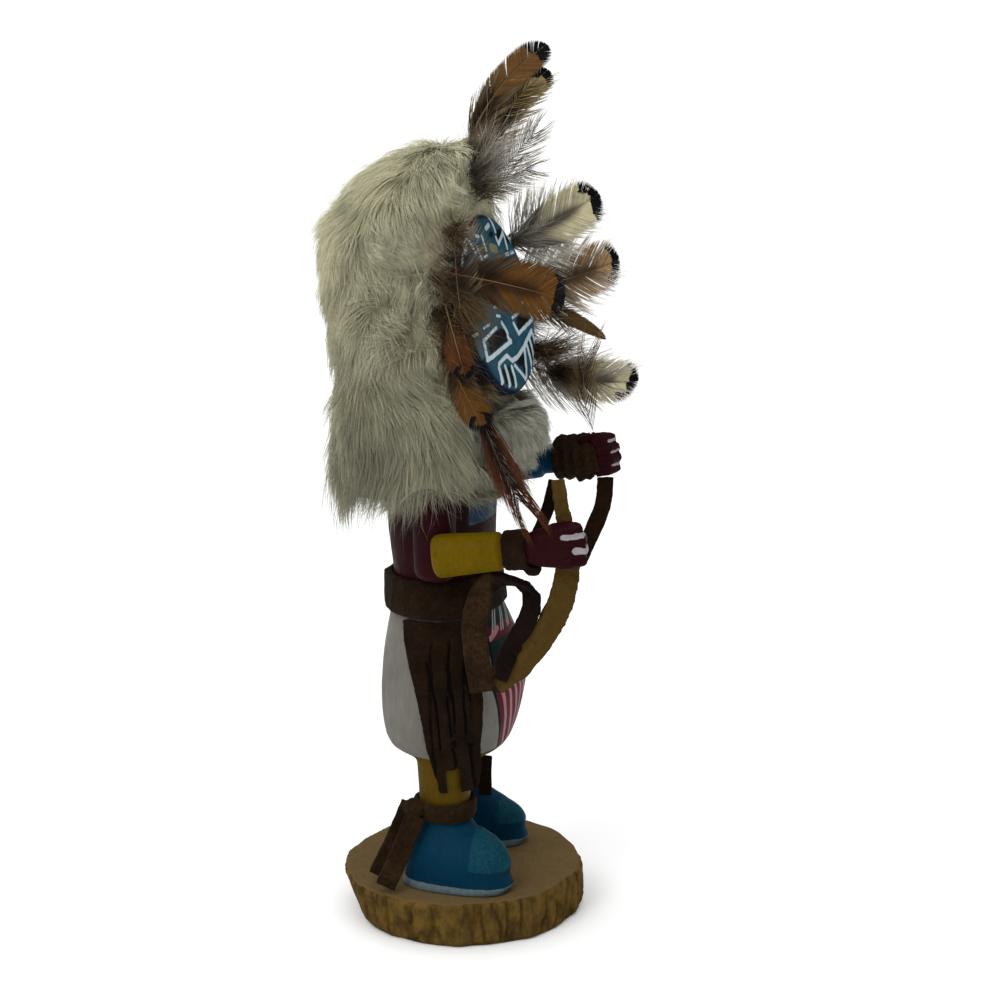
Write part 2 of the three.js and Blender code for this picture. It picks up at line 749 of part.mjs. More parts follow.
for (const [name, sizes] of Object.entries(FEATHERS)) {
  const colour = name.includes('hackle') ? COLOURS.hackle : COLOURS.feather;
  const near = name.includes('wrist') ? [bandRoom.left, armRoom.left] : [...furRoom, faceRoom, bustRoom];
  doll.add(named(name, cut(feather(sizes), ...near), colour, 0.7));
}

export default doll;
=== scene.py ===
# %% [markdown]
# # A kachina doll: carved wood, suede, fur and feathers
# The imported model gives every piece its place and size. This notebook gives each one its finish:
# painted and carved wood, the bark of the branch slice, soft suede, long fur, and feathers made of
# separate barbs. All lengths are in metres, so a value in millimetres is multiplied by MM.

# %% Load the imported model
import math

import bmesh
import bpy
import numpy as np
from mathutils import Matrix, Vector, noise
from mathutils.kdtree import KDTree


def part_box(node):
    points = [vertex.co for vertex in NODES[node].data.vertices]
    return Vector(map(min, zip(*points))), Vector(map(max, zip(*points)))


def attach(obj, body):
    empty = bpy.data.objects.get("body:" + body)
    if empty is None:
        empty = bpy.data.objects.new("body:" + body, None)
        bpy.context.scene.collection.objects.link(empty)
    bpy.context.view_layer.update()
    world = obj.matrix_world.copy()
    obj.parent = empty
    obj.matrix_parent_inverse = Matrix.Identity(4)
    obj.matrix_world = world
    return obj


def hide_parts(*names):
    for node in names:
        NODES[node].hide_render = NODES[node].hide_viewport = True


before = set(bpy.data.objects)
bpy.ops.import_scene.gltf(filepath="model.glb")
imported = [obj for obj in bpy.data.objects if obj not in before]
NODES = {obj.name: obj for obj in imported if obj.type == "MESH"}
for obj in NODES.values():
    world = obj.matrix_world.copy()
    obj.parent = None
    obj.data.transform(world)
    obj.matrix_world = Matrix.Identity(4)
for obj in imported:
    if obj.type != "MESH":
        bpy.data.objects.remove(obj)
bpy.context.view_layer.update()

MM = 0.001
TOP_OF_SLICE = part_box("base_slice")[1].z

# %% [markdown]
# ## The camera
# A long lens far from a small object keeps its sides parallel. The direction is built from three
# plain angles, the turn round the doll, the tilt down and a little aim to the right, and
# `to_track_quat` turns a direction into a rotation. The camera comes before the pieces.

# %% Camera
CAMERA_TURN = math.radians(-70)
CAMERA_TILT = math.radians(14.23)
CAMERA_AIM = math.radians(0.727)
CAMERA_REACH = 0.870
CAMERA_HEIGHT = 0.360

rightwards = Vector((math.cos(CAMERA_TURN), math.sin(CAMERA_TURN), 0))
away = Vector((-math.sin(CAMERA_TURN), math.cos(CAMERA_TURN), 0))
level_look = away * math.cos(CAMERA_AIM) + rightwards * math.sin(CAMERA_AIM)
look = level_look * math.cos(CAMERA_TILT) - Vector((0, 0, math.sin(CAMERA_TILT)))
camera_data = bpy.data.cameras.new("camera")
camera_data.lens = 98.93
camera_data.sensor_width = 36
camera = bpy.data.objects.new("camera", camera_data)
camera.location = -away * CAMERA_REACH + Vector((0, 0, CAMERA_HEIGHT))
camera.rotation_euler = look.to_track_quat("-Z", "Y").to_euler()
bpy.context.scene.collection.objects.link(camera)
bpy.context.scene.camera = camera
print("camera at", [round(value, 4) for value in camera.location])

# %% [markdown]
# ## Small tools for shader nodes
# Node trees are quicker to read when a line makes one node. `feed` links a socket or sets a value,
# and the others each add one common node and give back its output.

# %% Node tools
def feed(tree, socket, value):
    if isinstance(value, bpy.types.NodeSocket):
        tree.links.new(value, socket)
    else:
        socket.default_value = value


def calc(tree, operation, *values, clamp=False):
    made = tree.nodes.new("ShaderNodeMath")
    made.operation = operation
    made.use_clamp = clamp
    for i, value in enumerate(values):
        feed(tree, made.inputs[i], value)
    return made.outputs[0]


def vector_calc(tree, operation, *values):
    made = tree.nodes.new("ShaderNodeVectorMath")
    made.operation = operation
    for i, value in enumerate(values):
        feed(tree, made.inputs[i], value)
    single = operation in ("DOT_PRODUCT", "LENGTH", "DISTANCE")
    return made.outputs["Value" if single else "Vector"]


def mixed(tree, factor, first, second, mode="MIX"):
    """Inputs 6 and 7 of this node are its colours, and output 2 is the mixed one."""
    made = tree.nodes.new("ShaderNodeMix")
    made.data_type = "RGBA"
    made.blend_type = mode
    feed(tree, made.inputs[0], factor)
    feed(tree, made.inputs[6], first)
    feed(tree, made.inputs[7], second)
    return made.outputs[2]


def noisy(tree, place, scale, detail=3.0, roughness=0.5, stretch=None):
    if stretch:
        place = vector_calc(tree, "MULTIPLY", place, stretch)
    made = tree.nodes.new("ShaderNodeTexNoise")
    feed(tree, made.inputs["Vector"], place)
    feed(tree, made.inputs["Scale"], scale)
    made.inputs["Detail"].default_value = detail
    made.inputs["Roughness"].default_value = roughness
    return made.outputs["Fac"]


def between(tree, value, low, high, to_low=0.0, to_high=1.0):
    made = tree.nodes.new("ShaderNodeMapRange")
    made.interpolation_type = "SMOOTHSTEP"
    keys = ("Value", "From Min", "From Max", "To Min", "To Max")
    for key, given in zip(keys, (value, low, high, to_low, to_high)):
        feed(tree, made.inputs[key], given)
    return made.outputs[0]


def split(tree, place):
    made = tree.nodes.new("ShaderNodeSeparateXYZ")
    feed(tree, made.inputs[0], place)
    return made.outputs


def joined(tree, x=0.0, y=0.0, z=0.0):
    made = tree.nodes.new("ShaderNodeCombineXYZ")
    for socket, value in zip(made.inputs, (x, y, z)):
        feed(tree, socket, value)
    return made.outputs[0]


def shaded(tree, paint, shade):
    """A colour made darker or lighter by a factor."""
    return mixed(tree, 1.0, paint, joined(tree, shade, shade, shade), "MULTIPLY")


def in_mm(tree, value):
    return calc(tree, "MULTIPLY", value, 1000.0)


def stored(tree, name):
    """The values that a mesh keeps on its points under a name."""
    made = tree.nodes.new("ShaderNodeAttribute")
    made.attribute_name = name
    return made.outputs


def colour(red, green, blue):
    """A colour as it looks on a screen, 0 to 255, turned into the linear values of a shader."""
    channels = [value / 255 for value in (red, green, blue)]
    return tuple(c / 12.92 if c <= 0.04045 else ((c + 0.055) / 1.055) ** 2.4 for c in channels) + (1.0,)


# %% [markdown]
# ## Shared effects as node groups
# Paint, suede and brush strokes appear on many pieces. Each is a node group with named inputs, so a
# material only states its own values. A group gives out colours, masks and heights; the shader
# itself stays in the material.

# %% Node groups
def new_group(name, inputs, outputs):
    tree = bpy.data.node_groups.new(name, "ShaderNodeTree")
    kinds = {"value": "NodeSocketFloat", "colour": "NodeSocketColor", "vector": "NodeSocketVector"}
    for title, kind in inputs:
        tree.interface.new_socket(title, in_out="INPUT", socket_type=kinds[kind])
    for title, kind in outputs:
        tree.interface.new_socket(title, in_out="OUTPUT", socket_type=kinds[kind])
    return tree, tree.nodes.new("NodeGroupInput").outputs, tree.nodes.new("NodeGroupOutput").inputs


def use(tree, group, **values):
    """Places a group in a tree. An input's name is written with an underscore for each space."""
    made = tree.nodes.new("ShaderNodeGroup")
    made.node_tree = group
    for key, value in values.items():
        feed(tree, made.inputs[key.replace("_", " ")], value)
    return made.outputs


def brush_stroke_group():
    """A straight brush stroke on a flat plan: 1 inside it and 0 outside."""
    tree, given, out = new_group(
        "brush stroke",
        [("Plan", "vector"), ("From", "vector"), ("To", "vector"), ("Half width", "value")],
        [("Mask", "value")],
    )
    run = vector_calc(tree, "SUBTRACT", given["To"], given["From"])
    offset = vector_calc(tree, "SUBTRACT", given["Plan"], given["From"])
    length = calc(tree, "MAXIMUM", vector_calc(tree, "DOT_PRODUCT", run, run), 1e-6)
    share = calc(tree, "DIVIDE", vector_calc(tree, "DOT_PRODUCT", offset, run), length, clamp=True)
    scaled = tree.nodes.new("ShaderNodeVectorMath")
    scaled.operation = "SCALE"
    feed(tree, scaled.inputs[0], run)
    feed(tree, scaled.inputs["Scale"], share)
    distance = vector_calc(tree, "DISTANCE", offset, scaled.outputs["Vector"])
    low = calc(tree, "SUBTRACT", given["Half width"], 0.12)
    high = calc(tree, "ADD", given["Half width"], 0.12)
    feed(tree, out["Mask"], between(tree, distance, low, high, 1.0, 0.0))
    return tree


def painted_edge_group():
    """Where one hand-painted colour meets another: a border that wanders a little."""
    tree, given, out = new_group(
        "painted edge",
        [("Distance", "value"), ("Place", "vector"), ("Wander", "value")],
        [("Mask", "value")],
    )
    wobble = calc(tree, "SUBTRACT", noisy(tree, given["Place"], 320.0, 2.0), 0.5)
    moved = calc(tree, "MULTIPLY_ADD", wobble, given["Wander"], given["Distance"])
    feed(tree, out["Mask"], between(tree, moved, -0.12 * MM, 0.12 * MM))
    return tree


def matt_paint_group():
    """Brushed matt paint: broad clouds, fine brush marks, small chips down to bare wood."""
    tree, given, out = new_group(
        "matt paint",
        [("Paint", "colour"), ("Place", "vector"), ("Chips", "value")],
        [("Colour", "colour"), ("Roughness", "value"), ("Height", "value")],
    )
    clouds = noisy(tree, given["Place"], 85.0, 4.0, 0.6)
    marks = noisy(tree, given["Place"], 900.0, 4.0, 0.6, stretch=(1.0, 1.0, 0.22))
    grain = noisy(tree, given["Place"], 2600.0, 2.0)
    shade = calc(tree, "MULTIPLY_ADD", clouds, 0.55, calc(tree, "MULTIPLY_ADD", marks, 0.5, 0.47))
    toned = shaded(tree, given["Paint"], shade)
    chip_field = noisy(tree, given["Place"], 420.0, 6.0, 0.7)
    chips = between(tree, chip_field, calc(tree, "SUBTRACT", 0.76, given["Chips"]), 0.79)
    feed(tree, out["Colour"], mixed(tree, chips, toned, colour(84, 64, 40)))
    feed(tree, out["Roughness"], between(tree, clouds, 0.2, 0.8, 0.62, 0.44))
    height = calc(tree, "MULTIPLY_ADD", marks, 0.6, calc(tree, "MULTIPLY", grain, 0.25))
    feed(tree, out["Height"], calc(tree, "MULTIPLY_ADD", chips, -0.5, height))
    return tree


def suede_group():
    """Napped leather: a fine felted pile with lighter rubbed flecks, and broad patches of painted shade and
    light such as soft creases would show.
    """
    tree, given, out = new_group(
        "suede",
        [("Dye", "colour"), ("Rubbed", "colour"), ("Place", "vector")],
        [("Colour", "colour"), ("Height", "value")],
    )
    pile = noisy(tree, given["Place"], 2300.0, 5.0, 0.7)
    felt = noisy(tree, given["Place"], 700.0, 4.0, 0.65)
    fold_shading = noisy(tree, given["Place"], 110.0, 3.0)
    nap = calc(tree, "ADD", calc(tree, "MULTIPLY", pile, 0.5), calc(tree, "MULTIPLY", felt, 0.5))
    rubbed = between(tree, nap, 0.42, 0.7, 0.1, 0.72)
    toned = mixed(tree, rubbed, given["Dye"], given["Rubbed"])
    # painted shade and light: broad noise patches darken and lighten the suede, standing for soft creases
    shade = between(tree, fold_shading, 0.25, 0.75, 0.62, 1.25)
    feed(tree, out["Colour"], shaded(tree, toned, shade))
    feed(tree, out["Height"], calc(tree, "MULTIPLY_ADD", pile, 0.6, felt))
    return tree


BRUSH_STROKE = brush_stroke_group()
PAINTED_EDGE = painted_edge_group()
MATT_PAINT = matt_paint_group()
SUEDE = suede_group()
print("node groups:", len(bpy.data.node_groups))

# %% [markdown]
# ## One way to end a material
# Each material is a function that takes a node tree and the place on the piece, and gives back what
# the Principled shader needs. `material` does the rest: the same few lines for every finish.

# %% Material maker
def material(name, design, roughness=0.8, sheen=0.0, specular=0.04, depth=0.1 * MM):
    made = bpy.data.materials.new(name)
    made.use_nodes = True
    tree = made.node_tree
    shader = tree.nodes["Principled BSDF"]
    shader.inputs["Roughness"].default_value = roughness
    shader.inputs["Sheen Weight"].default_value = sheen
    shader.inputs["Specular IOR Level"].default_value = specular
    place = tree.nodes.new("ShaderNodeTexCoord").outputs["Object"]
    result = design(tree, place)
    feed(tree, shader.inputs["Base Color"], result["colour"])
    if "roughness" in result:
        feed(tree, shader.inputs["Roughness"], result["roughness"])
    if "height" in result:
        raised = tree.nodes.new("ShaderNodeBump")
        raised.inputs["Distance"].default_value = depth
        raised.inputs["Strength"].default_value = 1.0
        feed(tree, raised.inputs["Height"], result["height"])
        feed(tree, shader.inputs["Normal"], raised.outputs[0])
    return made


def painted(tree, place, paint, chips=0.02):
    out = use(tree, MATT_PAINT, Paint=paint, Place=place, Chips=chips)
    return {"colour": out["Colour"], "roughness": out["Roughness"], "height": out["Height"]}


# %% [markdown]
# ## Floor and light
# The doll stands on a plain pale floor. Most of the light is a wide soft sky overhead, so what
# faces up is bright and the sides fall off gently. A small window light from the doll's right
# models the fur and the carving.

# %% Floor and light
def floor_paper(tree, place):
    cloud = noisy(tree, place, 3.0, 2.0)
    return {"colour": mixed(tree, cloud, (0.86, 0.86, 0.85, 1), (0.9, 0.9, 0.89, 1))}


floor_mesh = bmesh.new()
bmesh.ops.create_grid(floor_mesh, x_segments=2, y_segments=2, size=8)
floor_data = bpy.data.meshes.new("floor")
floor_mesh.to_mesh(floor_data)
floor_mesh.free()
floor_data.materials.append(material("floor paper", floor_paper, roughness=0.9, specular=0.1))
floor = bpy.data.objects.new("floor", floor_data)
bpy.context.scene.collection.objects.link(floor)

world = bpy.data.worlds.new("room")
world.use_nodes = True
room_light = world.node_tree.nodes["Background"]
room_light.inputs["Color"].default_value = (0.95, 0.98, 1.0, 1)
seen = world.node_tree.nodes.new("ShaderNodeLightPath").outputs["Is Camera Ray"]
feed(world.node_tree, room_light.inputs["Strength"], calc(world.node_tree, "MULTIPLY_ADD", seen, 0.6, 0.35))
bpy.context.scene.world = world
bpy.context.scene.view_settings.view_transform = "Standard"


def aim(lamp, place):
    lamp.location = place
    lamp.rotation_euler = (Vector((0, 0, 0.13)) - Vector(place)).to_track_quat("-Z", "Y").to_euler()
    bpy.context.scene.collection.objects.link(lamp)


skylight = bpy.data.lights.new("skylight", "SUN")
skylight.energy = 3.0
skylight.angle = math.radians(100)
aim(bpy.data.objects.new("skylight", skylight), (-0.05, 0.25, 1.6))
key = bpy.data.lights.new("window", "AREA")
key.energy = 5.5
key.size = 0.6
aim(bpy.data.objects.new("window", key), (-1.1, 0.35, 1.0))
print("lights:", len(bpy.data.lights))

# %% [markdown]
# ## Working on a copy of a solid
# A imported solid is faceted. Its copy is merged, turned into an even skin of small squares with the
# Remesh modifier, and rubbed smooth with the Smooth modifier, as sandpaper would. After that, `push`
# moves points along their normals, which carves or swells the surface by a rule.

# %% Tools for pieces
def copy_of(node):
    made = bmesh.new()
    made.from_mesh(NODES[node].data)
    bmesh.ops.remove_doubles(made, verts=made.verts, dist=1e-6)
    return made


def skin(solid, voxel, rubs):
    draft = bpy.data.objects.new("draft", bpy.data.meshes.new("draft"))
    solid.to_mesh(draft.data)
    solid.free()
    bpy.context.scene.collection.objects.link(draft)
    remesh = draft.modifiers.new("remesh", "REMESH")
    remesh.mode = "VOXEL"
    remesh.voxel_size = voxel
    smooth = draft.modifiers.new("rub", "SMOOTH")
    smooth.iterations = rubs
    smooth.factor = 0.5
    finished = draft.evaluated_get(bpy.context.evaluated_depsgraph_get())
    made = bmesh.new()
    made.from_mesh(finished.to_mesh())
    finished.to_mesh_clear()
    scrap = draft.data
    bpy.data.objects.remove(draft)
    bpy.data.meshes.remove(scrap)
    return made


def push(surface, rule):
    """rule(place, normal) gives how far a point moves outwards, or inwards where it is below zero."""
    surface.normal_update()
    moves = [(point, point.normal * rule(point.co, point.normal)) for point in surface.verts]
    for point, move in moves:
        point.co += move


def keep(name, surface, finish, slot, *nodes):
    """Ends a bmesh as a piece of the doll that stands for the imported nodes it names."""
    if isinstance(surface, bmesh.types.BMesh):
        data = bpy.data.meshes.new(name)
        surface.to_mesh(data)
        surface.free()
    else:
        data = surface
    data.shade_smooth()
    data.materials.append(finish)
    piece = bpy.data.objects.new(name, data)
    bpy.context.scene.collection.objects.link(piece)
    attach(piece, "root")
    if nodes:
        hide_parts(*nodes)
    print(f"{name}: {len(data.polygons)} faces")
    return piece


def bumps(place, size, seed=0.0):
    """Smooth noise from -1 to 1, with features about `size` across."""
    return noise.noise(place / size + Vector((seed, 2.3 * seed, -seed)))


def drift(place):
    """A direction that turns slowly from place to place, and is the same in every run."""
    return Vector([noise.noise(place + Vector((17.3 * axis, 0, 0))) for axis in range(3)])


# %% [markdown]
# ## The slice of branch
# A real slice keeps its bark: a rough wall, split by grooves that run up and down. The grooves are
# where a stretched noise is close to zero, which gives long narrow cracks. The sawn faces stay flat,
# because the doll and the slice both rest on them.

# %% Branch slice
BARK_CRACK = 5.5 * MM
BARK_FLAKE = 3.2 * MM
BARK_DEPTH = 1.05 * MM


def crack_at(place, width):
    """1 in the middle of a crack of the bark, 0 away from it."""
    drawn = Vector((place.x, place.y, place.z * 0.28))
    off = abs(bumps(drawn, BARK_CRACK, 3.0) + 0.35 * bumps(drawn, BARK_CRACK / 2.3, 5.0))
    return math.exp(-((off / width) ** 2))


def bark_rule(place, normal):
    wall = max(0.0, 1 - abs(normal.z) * 1.6)
    if wall == 0:
        return 0.0
    flake = bumps(Vector((place.x, place.y, place.z * 0.7)), BARK_FLAKE, 8.0)
    fine = bumps(place, 1.1 * MM, 1.0)
    depth = crack_at(place, 0.11)
    return wall * (0.35 * MM - BARK_DEPTH * depth + 0.42 * MM * flake + 0.16 * MM * fine)


slice_skin = skin(copy_of("base_slice"), 0.62 * MM, 3)
push(slice_skin, bark_rule)
for point in slice_skin.verts:
    point.co.z = min(max(point.co.z, 0.0), TOP_OF_SLICE)
crack_layer = slice_skin.verts.layers.float.new("crack")
for point in slice_skin.verts:
    point[crack_layer] = crack_at(point.co, 0.16)


def branch_wood(tree, place):
    across = split(tree, place)
    facing = tree.nodes.new("ShaderNodeNewGeometry").outputs["Normal"]
    upward = calc(tree, "ABSOLUTE", split(tree, facing)[2])
    heart = joined(tree, calc(tree, "ADD", across[0], 0.004), calc(tree, "ADD", across[1], -0.006), 0.0)
    wander = noisy(tree, place, 55.0, 3.0)
    ring_radius = calc(tree, "MULTIPLY_ADD", wander, 0.012, vector_calc(tree, "LENGTH", heart))
    rings = calc(tree, "SINE", calc(tree, "MULTIPLY", ring_radius, 3300.0))
    rays = noisy(tree, place, 240.0, 5.0, 0.7)
    fibres = noisy(tree, place, 1500.0, 3.0)
    sawn = mixed(tree, rays, colour(68, 53, 31), colour(100, 82, 52))
    sawn = mixed(tree, calc(tree, "MULTIPLY", between(tree, rings, 0.2, 1.0), 0.16), sawn, colour(66, 50, 30))
    sawn = mixed(tree, calc(tree, "MULTIPLY", fibres, 0.3), sawn, colour(108, 90, 60))
    flakes = noisy(tree, place, 330.0, 6.0, 0.72, stretch=(1.0, 1.0, 0.5))
    bark = mixed(tree, between(tree, flakes, 0.3, 0.7), colour(62, 46, 19), colour(96, 75, 36))
    ochre = between(tree, noisy(tree, place, 170.0, 4.0), 0.5, 0.68)
    bark = mixed(tree, calc(tree, "MULTIPLY", ochre, 0.5), bark, colour(112, 84, 34))
    # painted shade: the bark is darkened inside its cracks, where shade falls in the grooves
    crack_shade = calc(tree, "MULTIPLY", stored(tree, "crack")["Fac"], 0.4)
    bark = mixed(tree, crack_shade, bark, colour(38, 26, 10))
    top = between(tree, upward, 0.62, 0.86)
    shade = mixed(tree, top, bark, sawn)
    height = mixed(tree, top, joined(tree, flakes, flakes, flakes), joined(tree, fibres, rays, rays))
    return {"colour": shade, "height": height}


keep("branch_slice", slice_skin, material("branch wood", branch_wood, 0.9, depth=0.35 * MM),
     "branch_slice", "base_slice")

# %% [markdown]
# ## The carved figure
# The body, kilt, legs and moccasins are one carving. The feet are first drawn out below the slice,
# so that rubbing rounds off nothing where they stand, and then cut level again. Shallow dents from
# the knife and a line above the soles are pushed in, and the head is cut flat behind the face.

# %% Carved figure
SOLE_LINE = TOP_OF_SLICE + 2.7 * MM
FACE_LEAN = math.radians(14)
FACE_OUT = Vector((0, -math.cos(FACE_LEAN), math.sin(FACE_LEAN)))
FACE_MIDDLE = Vector((0, -12.6, 205.2)) * MM
BEHIND_FACE = 4 * MM
HEAD_FROM = 172 * MM


def stands_on_slice(face):
    return face.normal.z < -0.9 and face.calc_center_median().z < TOP_OF_SLICE + 0.2 * MM


def knife_rule(place, normal):
    dents = 0.09 * MM * bumps(place, 7 * MM) + 0.035 * MM * bumps(place, 2.2 * MM, 4.0)
    side = 1 - abs(normal.z)
    line = math.exp(-(((place.z - SOLE_LINE) / (0.45 * MM)) ** 2))
    sole = 0.3 * MM if place.z < SOLE_LINE else 0.0
    toe = min(1.0, max(0.0, -place.y / MM - 7) / 8) if place.z < TOP_OF_SLICE + 18 * MM else 0.0
    toe_cap = 4.0 * MM * toe * math.sqrt(max(0.0, normal.z)) * max(0.0, -normal.y)
    return dents + side * (sole - 0.4 * MM * line) + toe_cap


figure = copy_of("carved_figure")
soles = [face for face in figure.faces if stands_on_slice(face)]
drawn_out = bmesh.ops.extrude_face_region(figure, geom=soles)["geom"]
lowered = [part for part in drawn_out if isinstance(part, bmesh.types.BMVert)]
bmesh.ops.translate(figure, verts=lowered, vec=(0, 0, -5 * MM))
figure = skin(figure, 0.9 * MM, 26)
push(figure, knife_rule)
for point in figure.verts:
    proud = (point.co - FACE_MIDDLE).dot(FACE_OUT) + BEHIND_FACE
    if point.co.z > HEAD_FROM and proud > 0:
        point.co -= FACE_OUT * proud
whole = list(figure.verts) + list(figure.edges) + list(figure.faces)
bmesh.ops.bisect_plane(figure, geom=whole, plane_co=(0, 0, TOP_OF_SLICE), plane_no=(0, 0, -1),
                       clear_outer=True)
open_edges = [edge for edge in figure.edges if edge.is_boundary]
bmesh.ops.holes_fill(figure, edges=open_edges, sides=0)

# %% [markdown]
# ## The figure's paint
# Each colour fills a zone given by height or by a line on a flat plan. The sash on the kilt is drawn
# with the same brush stroke group on a plan of width and height in millimetres, seen from the front.

# %% Paint of the figure
MAROON = colour(35, 6, 10)
CHEST = colour(72, 82, 80)
KILT = colour(105, 102, 95)
YELLOW = colour(76, 58, 6)
TURQUOISE = colour(0, 42, 62)
PALE_SOLE = colour(84, 96, 100)
BELT_MIDDLE = (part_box("belt")[0].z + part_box("belt")[1].z) / 2
HEM = 58 * MM
ANKLE = TOP_OF_SLICE + 21 * MM
SASH_RED = colour(74, 20, 30)
SASH_PINK = colour(150, 104, 108)
SASH_GREEN = colour(14, 30, 28)
SASH_BLACK = colour(10, 8, 11)
SASH_CORNER = 82.0
# the height in millimetres where each band of the sash begins
SASH_BANDS = [(79.4, colour(34, 10, 18)), (84.4, SASH_GREEN), (95.4, SASH_RED), (99.6, SASH_GREEN)]
CHEST_FOOT = 134.5 * MM
NECK = 166 * MM


def line_mask(tree, plan, start, stop, half):
    """Flat points are (x, y) in millimetres."""
    return use(tree, BRUSH_STROKE, Plan=plan, From=(*start, 0), To=(*stop, 0), Half_width=half)["Mask"]


def draw(tree, base, plan, paint, strokes):
    """Lays strokes ((x, y), (x, y), half width) of one paint over a colour."""
    mask = 0.0
    for start, stop, half in strokes:
        mask = calc(tree, "MAXIMUM", mask, line_mask(tree, plan, start, stop, half))
    return mixed(tree, mask, base, paint)


def zone(tree, place, distance, wander=0.7 * MM):
    return use(tree, PAINTED_EDGE, Distance=distance, Place=place, Wander=wander)["Mask"]


def sash(tree, place, axes):
    """The sash's colours, and a mask of where it hangs on the front of the kilt."""
    height = in_mm(tree, axes[2])
    # below its corner it leans one way, and above it the other way
    above = calc(tree, "SUBTRACT", height, SASH_CORNER)
    lean = calc(tree, "MULTIPLY_ADD", calc(tree, "MINIMUM", above, 0.0), -0.42, -17.0)
    lean = calc(tree, "MULTIPLY_ADD", calc(tree, "MAXIMUM", above, 0.0), 0.3, lean)
    across = calc(tree, "SUBTRACT", in_mm(tree, axes[0]), lean)
    stripe = calc(tree, "SINE", calc(tree, "MULTIPLY_ADD", across, 1.5, -4.6))
    cloth = mixed(tree, between(tree, stripe, 0.25, 0.5), SASH_RED, SASH_PINK)
    for foot, dye in SASH_BANDS:
        cloth = mixed(tree, between(tree, height, foot, foot + 0.3), cloth, dye)
    plan = joined(tree, across, height, 0.0)
    pairs = [((x + 6 * i, 106), (x - 5 + 6 * i, 97.5), 0.35) for x in (8, 9.6) for i in range(4)]
    corners = [(3 + 2 * i, 91 if i % 2 else 85) for i in range(13)]
    zigzag = [(start, stop, 0.4) for start, stop in zip(corners, corners[1:])]
    cloth = draw(tree, cloth, plan, colour(140, 142, 136), pairs + zigzag)
    cloth = draw(tree, cloth, plan, SASH_PINK, [((1.5, 96.4), (7, 98.6), 0.8)])
    sides = calc(tree, "ABSOLUTE", calc(tree, "SUBTRACT", across, 11.5))
    cloth = mixed(tree, between(tree, sides, 10.3, 10.6), cloth, SASH_BLACK)
    inside = zone(tree, place, calc(tree, "MULTIPLY", calc(tree, "SUBTRACT", 11.6, sides), MM), 0.3 * MM)
    front = between(tree, axes[1], -0.002, -0.003)
    return cloth, calc(tree, "MULTIPLY", inside, front)


def figure_paint(tree, place):
    axes = split(tree, place)
    height = axes[2]
    # the torso: maroon, with a pale front and two blue spots below it
    slant = calc(tree, "MULTIPLY", calc(tree, "ABSOLUTE", axes[0]), -0.55)
    front = calc(tree, "SUBTRACT", slant, axes[1])
    chest = calc(tree, "MULTIPLY", zone(tree, place, calc(tree, "SUBTRACT", front, -1.5 * MM)),
                 zone(tree, place, calc(tree, "SUBTRACT", height, CHEST_FOOT)))
    body = mixed(tree, chest, MAROON, CHEST)
    plan = joined(tree, in_mm(tree, axes[0]), in_mm(tree, height), 0.0)
    strokes = [((hand * 11, 137.6), (hand * 5, 136.8), 2.6) for hand in (-1, 1)]
    spots = draw(tree, body, plan, colour(36, 58, 80), strokes)
    body = mixed(tree, between(tree, axes[1], -0.001, -0.003), body, spots)
    # painted shade: above the neck the head is a near-black brown, for the deep shade under the fur and
    # feathers
    body = mixed(tree, between(tree, height, NECK, NECK + 2 * MM), body, colour(26, 19, 13))
    # the kilt and its sash
    cloth, hanging = sash(tree, place, axes)
    kilt = mixed(tree, hanging, KILT, cloth)
    lower = mixed(tree, zone(tree, place, calc(tree, "SUBTRACT", height, HEM), 0.2 * MM), YELLOW, kilt)
    # the moccasins: turquoise, with a painted highlight, a broken lighter patch over the tops of the toes, on
    # pale soles
    lift = calc(tree, "SUBTRACT", height, TOP_OF_SLICE)
    toes = calc(tree, "SUBTRACT", -8 * MM, calc(tree, "MULTIPLY_ADD", axes[0], -0.12, axes[1]))
    toes = calc(tree, "MINIMUM", toes, calc(tree, "SUBTRACT", lift, 8.2 * MM))
    toe_highlight = between(tree, noisy(tree, place, 900.0, 5.0, 0.75), 0.38, 0.62)
    toe_highlight = calc(tree, "MULTIPLY_ADD", toe_highlight, 0.5, 0.25)
    toe_highlight = calc(tree, "MULTIPLY", zone(tree, place, toes, 1.6 * MM), toe_highlight)
    shoe = mixed(tree, toe_highlight, TURQUOISE, colour(20, 66, 74))
    shoe = mixed(tree, zone(tree, place, calc(tree, "SUBTRACT", lift, 2.6 * MM), 0.5 * MM), PALE_SOLE, shoe)
    legs = mixed(tree, zone(tree, place, calc(tree, "SUBTRACT", height, ANKLE)), shoe, lower)
    whole_paint = mixed(tree, between(tree, height, BELT_MIDDLE - 1 * MM, BELT_MIDDLE + 1 * MM), legs, body)
    return painted(tree, place, whole_paint)


keep("figure", figure, material("figure paint", figure_paint, depth=0.12 * MM),
     "painted_wood", "carved_figure")

# %% [markdown]
# ## The face
# The face is a turned board with a rounded rim, a little domed in front. A profile that starts and
# ends on its axis is spun once round. It is painted with brush strokes on a flat plan whose middle
# is the board's middle, x to the doll's left and y up, in millimetres.

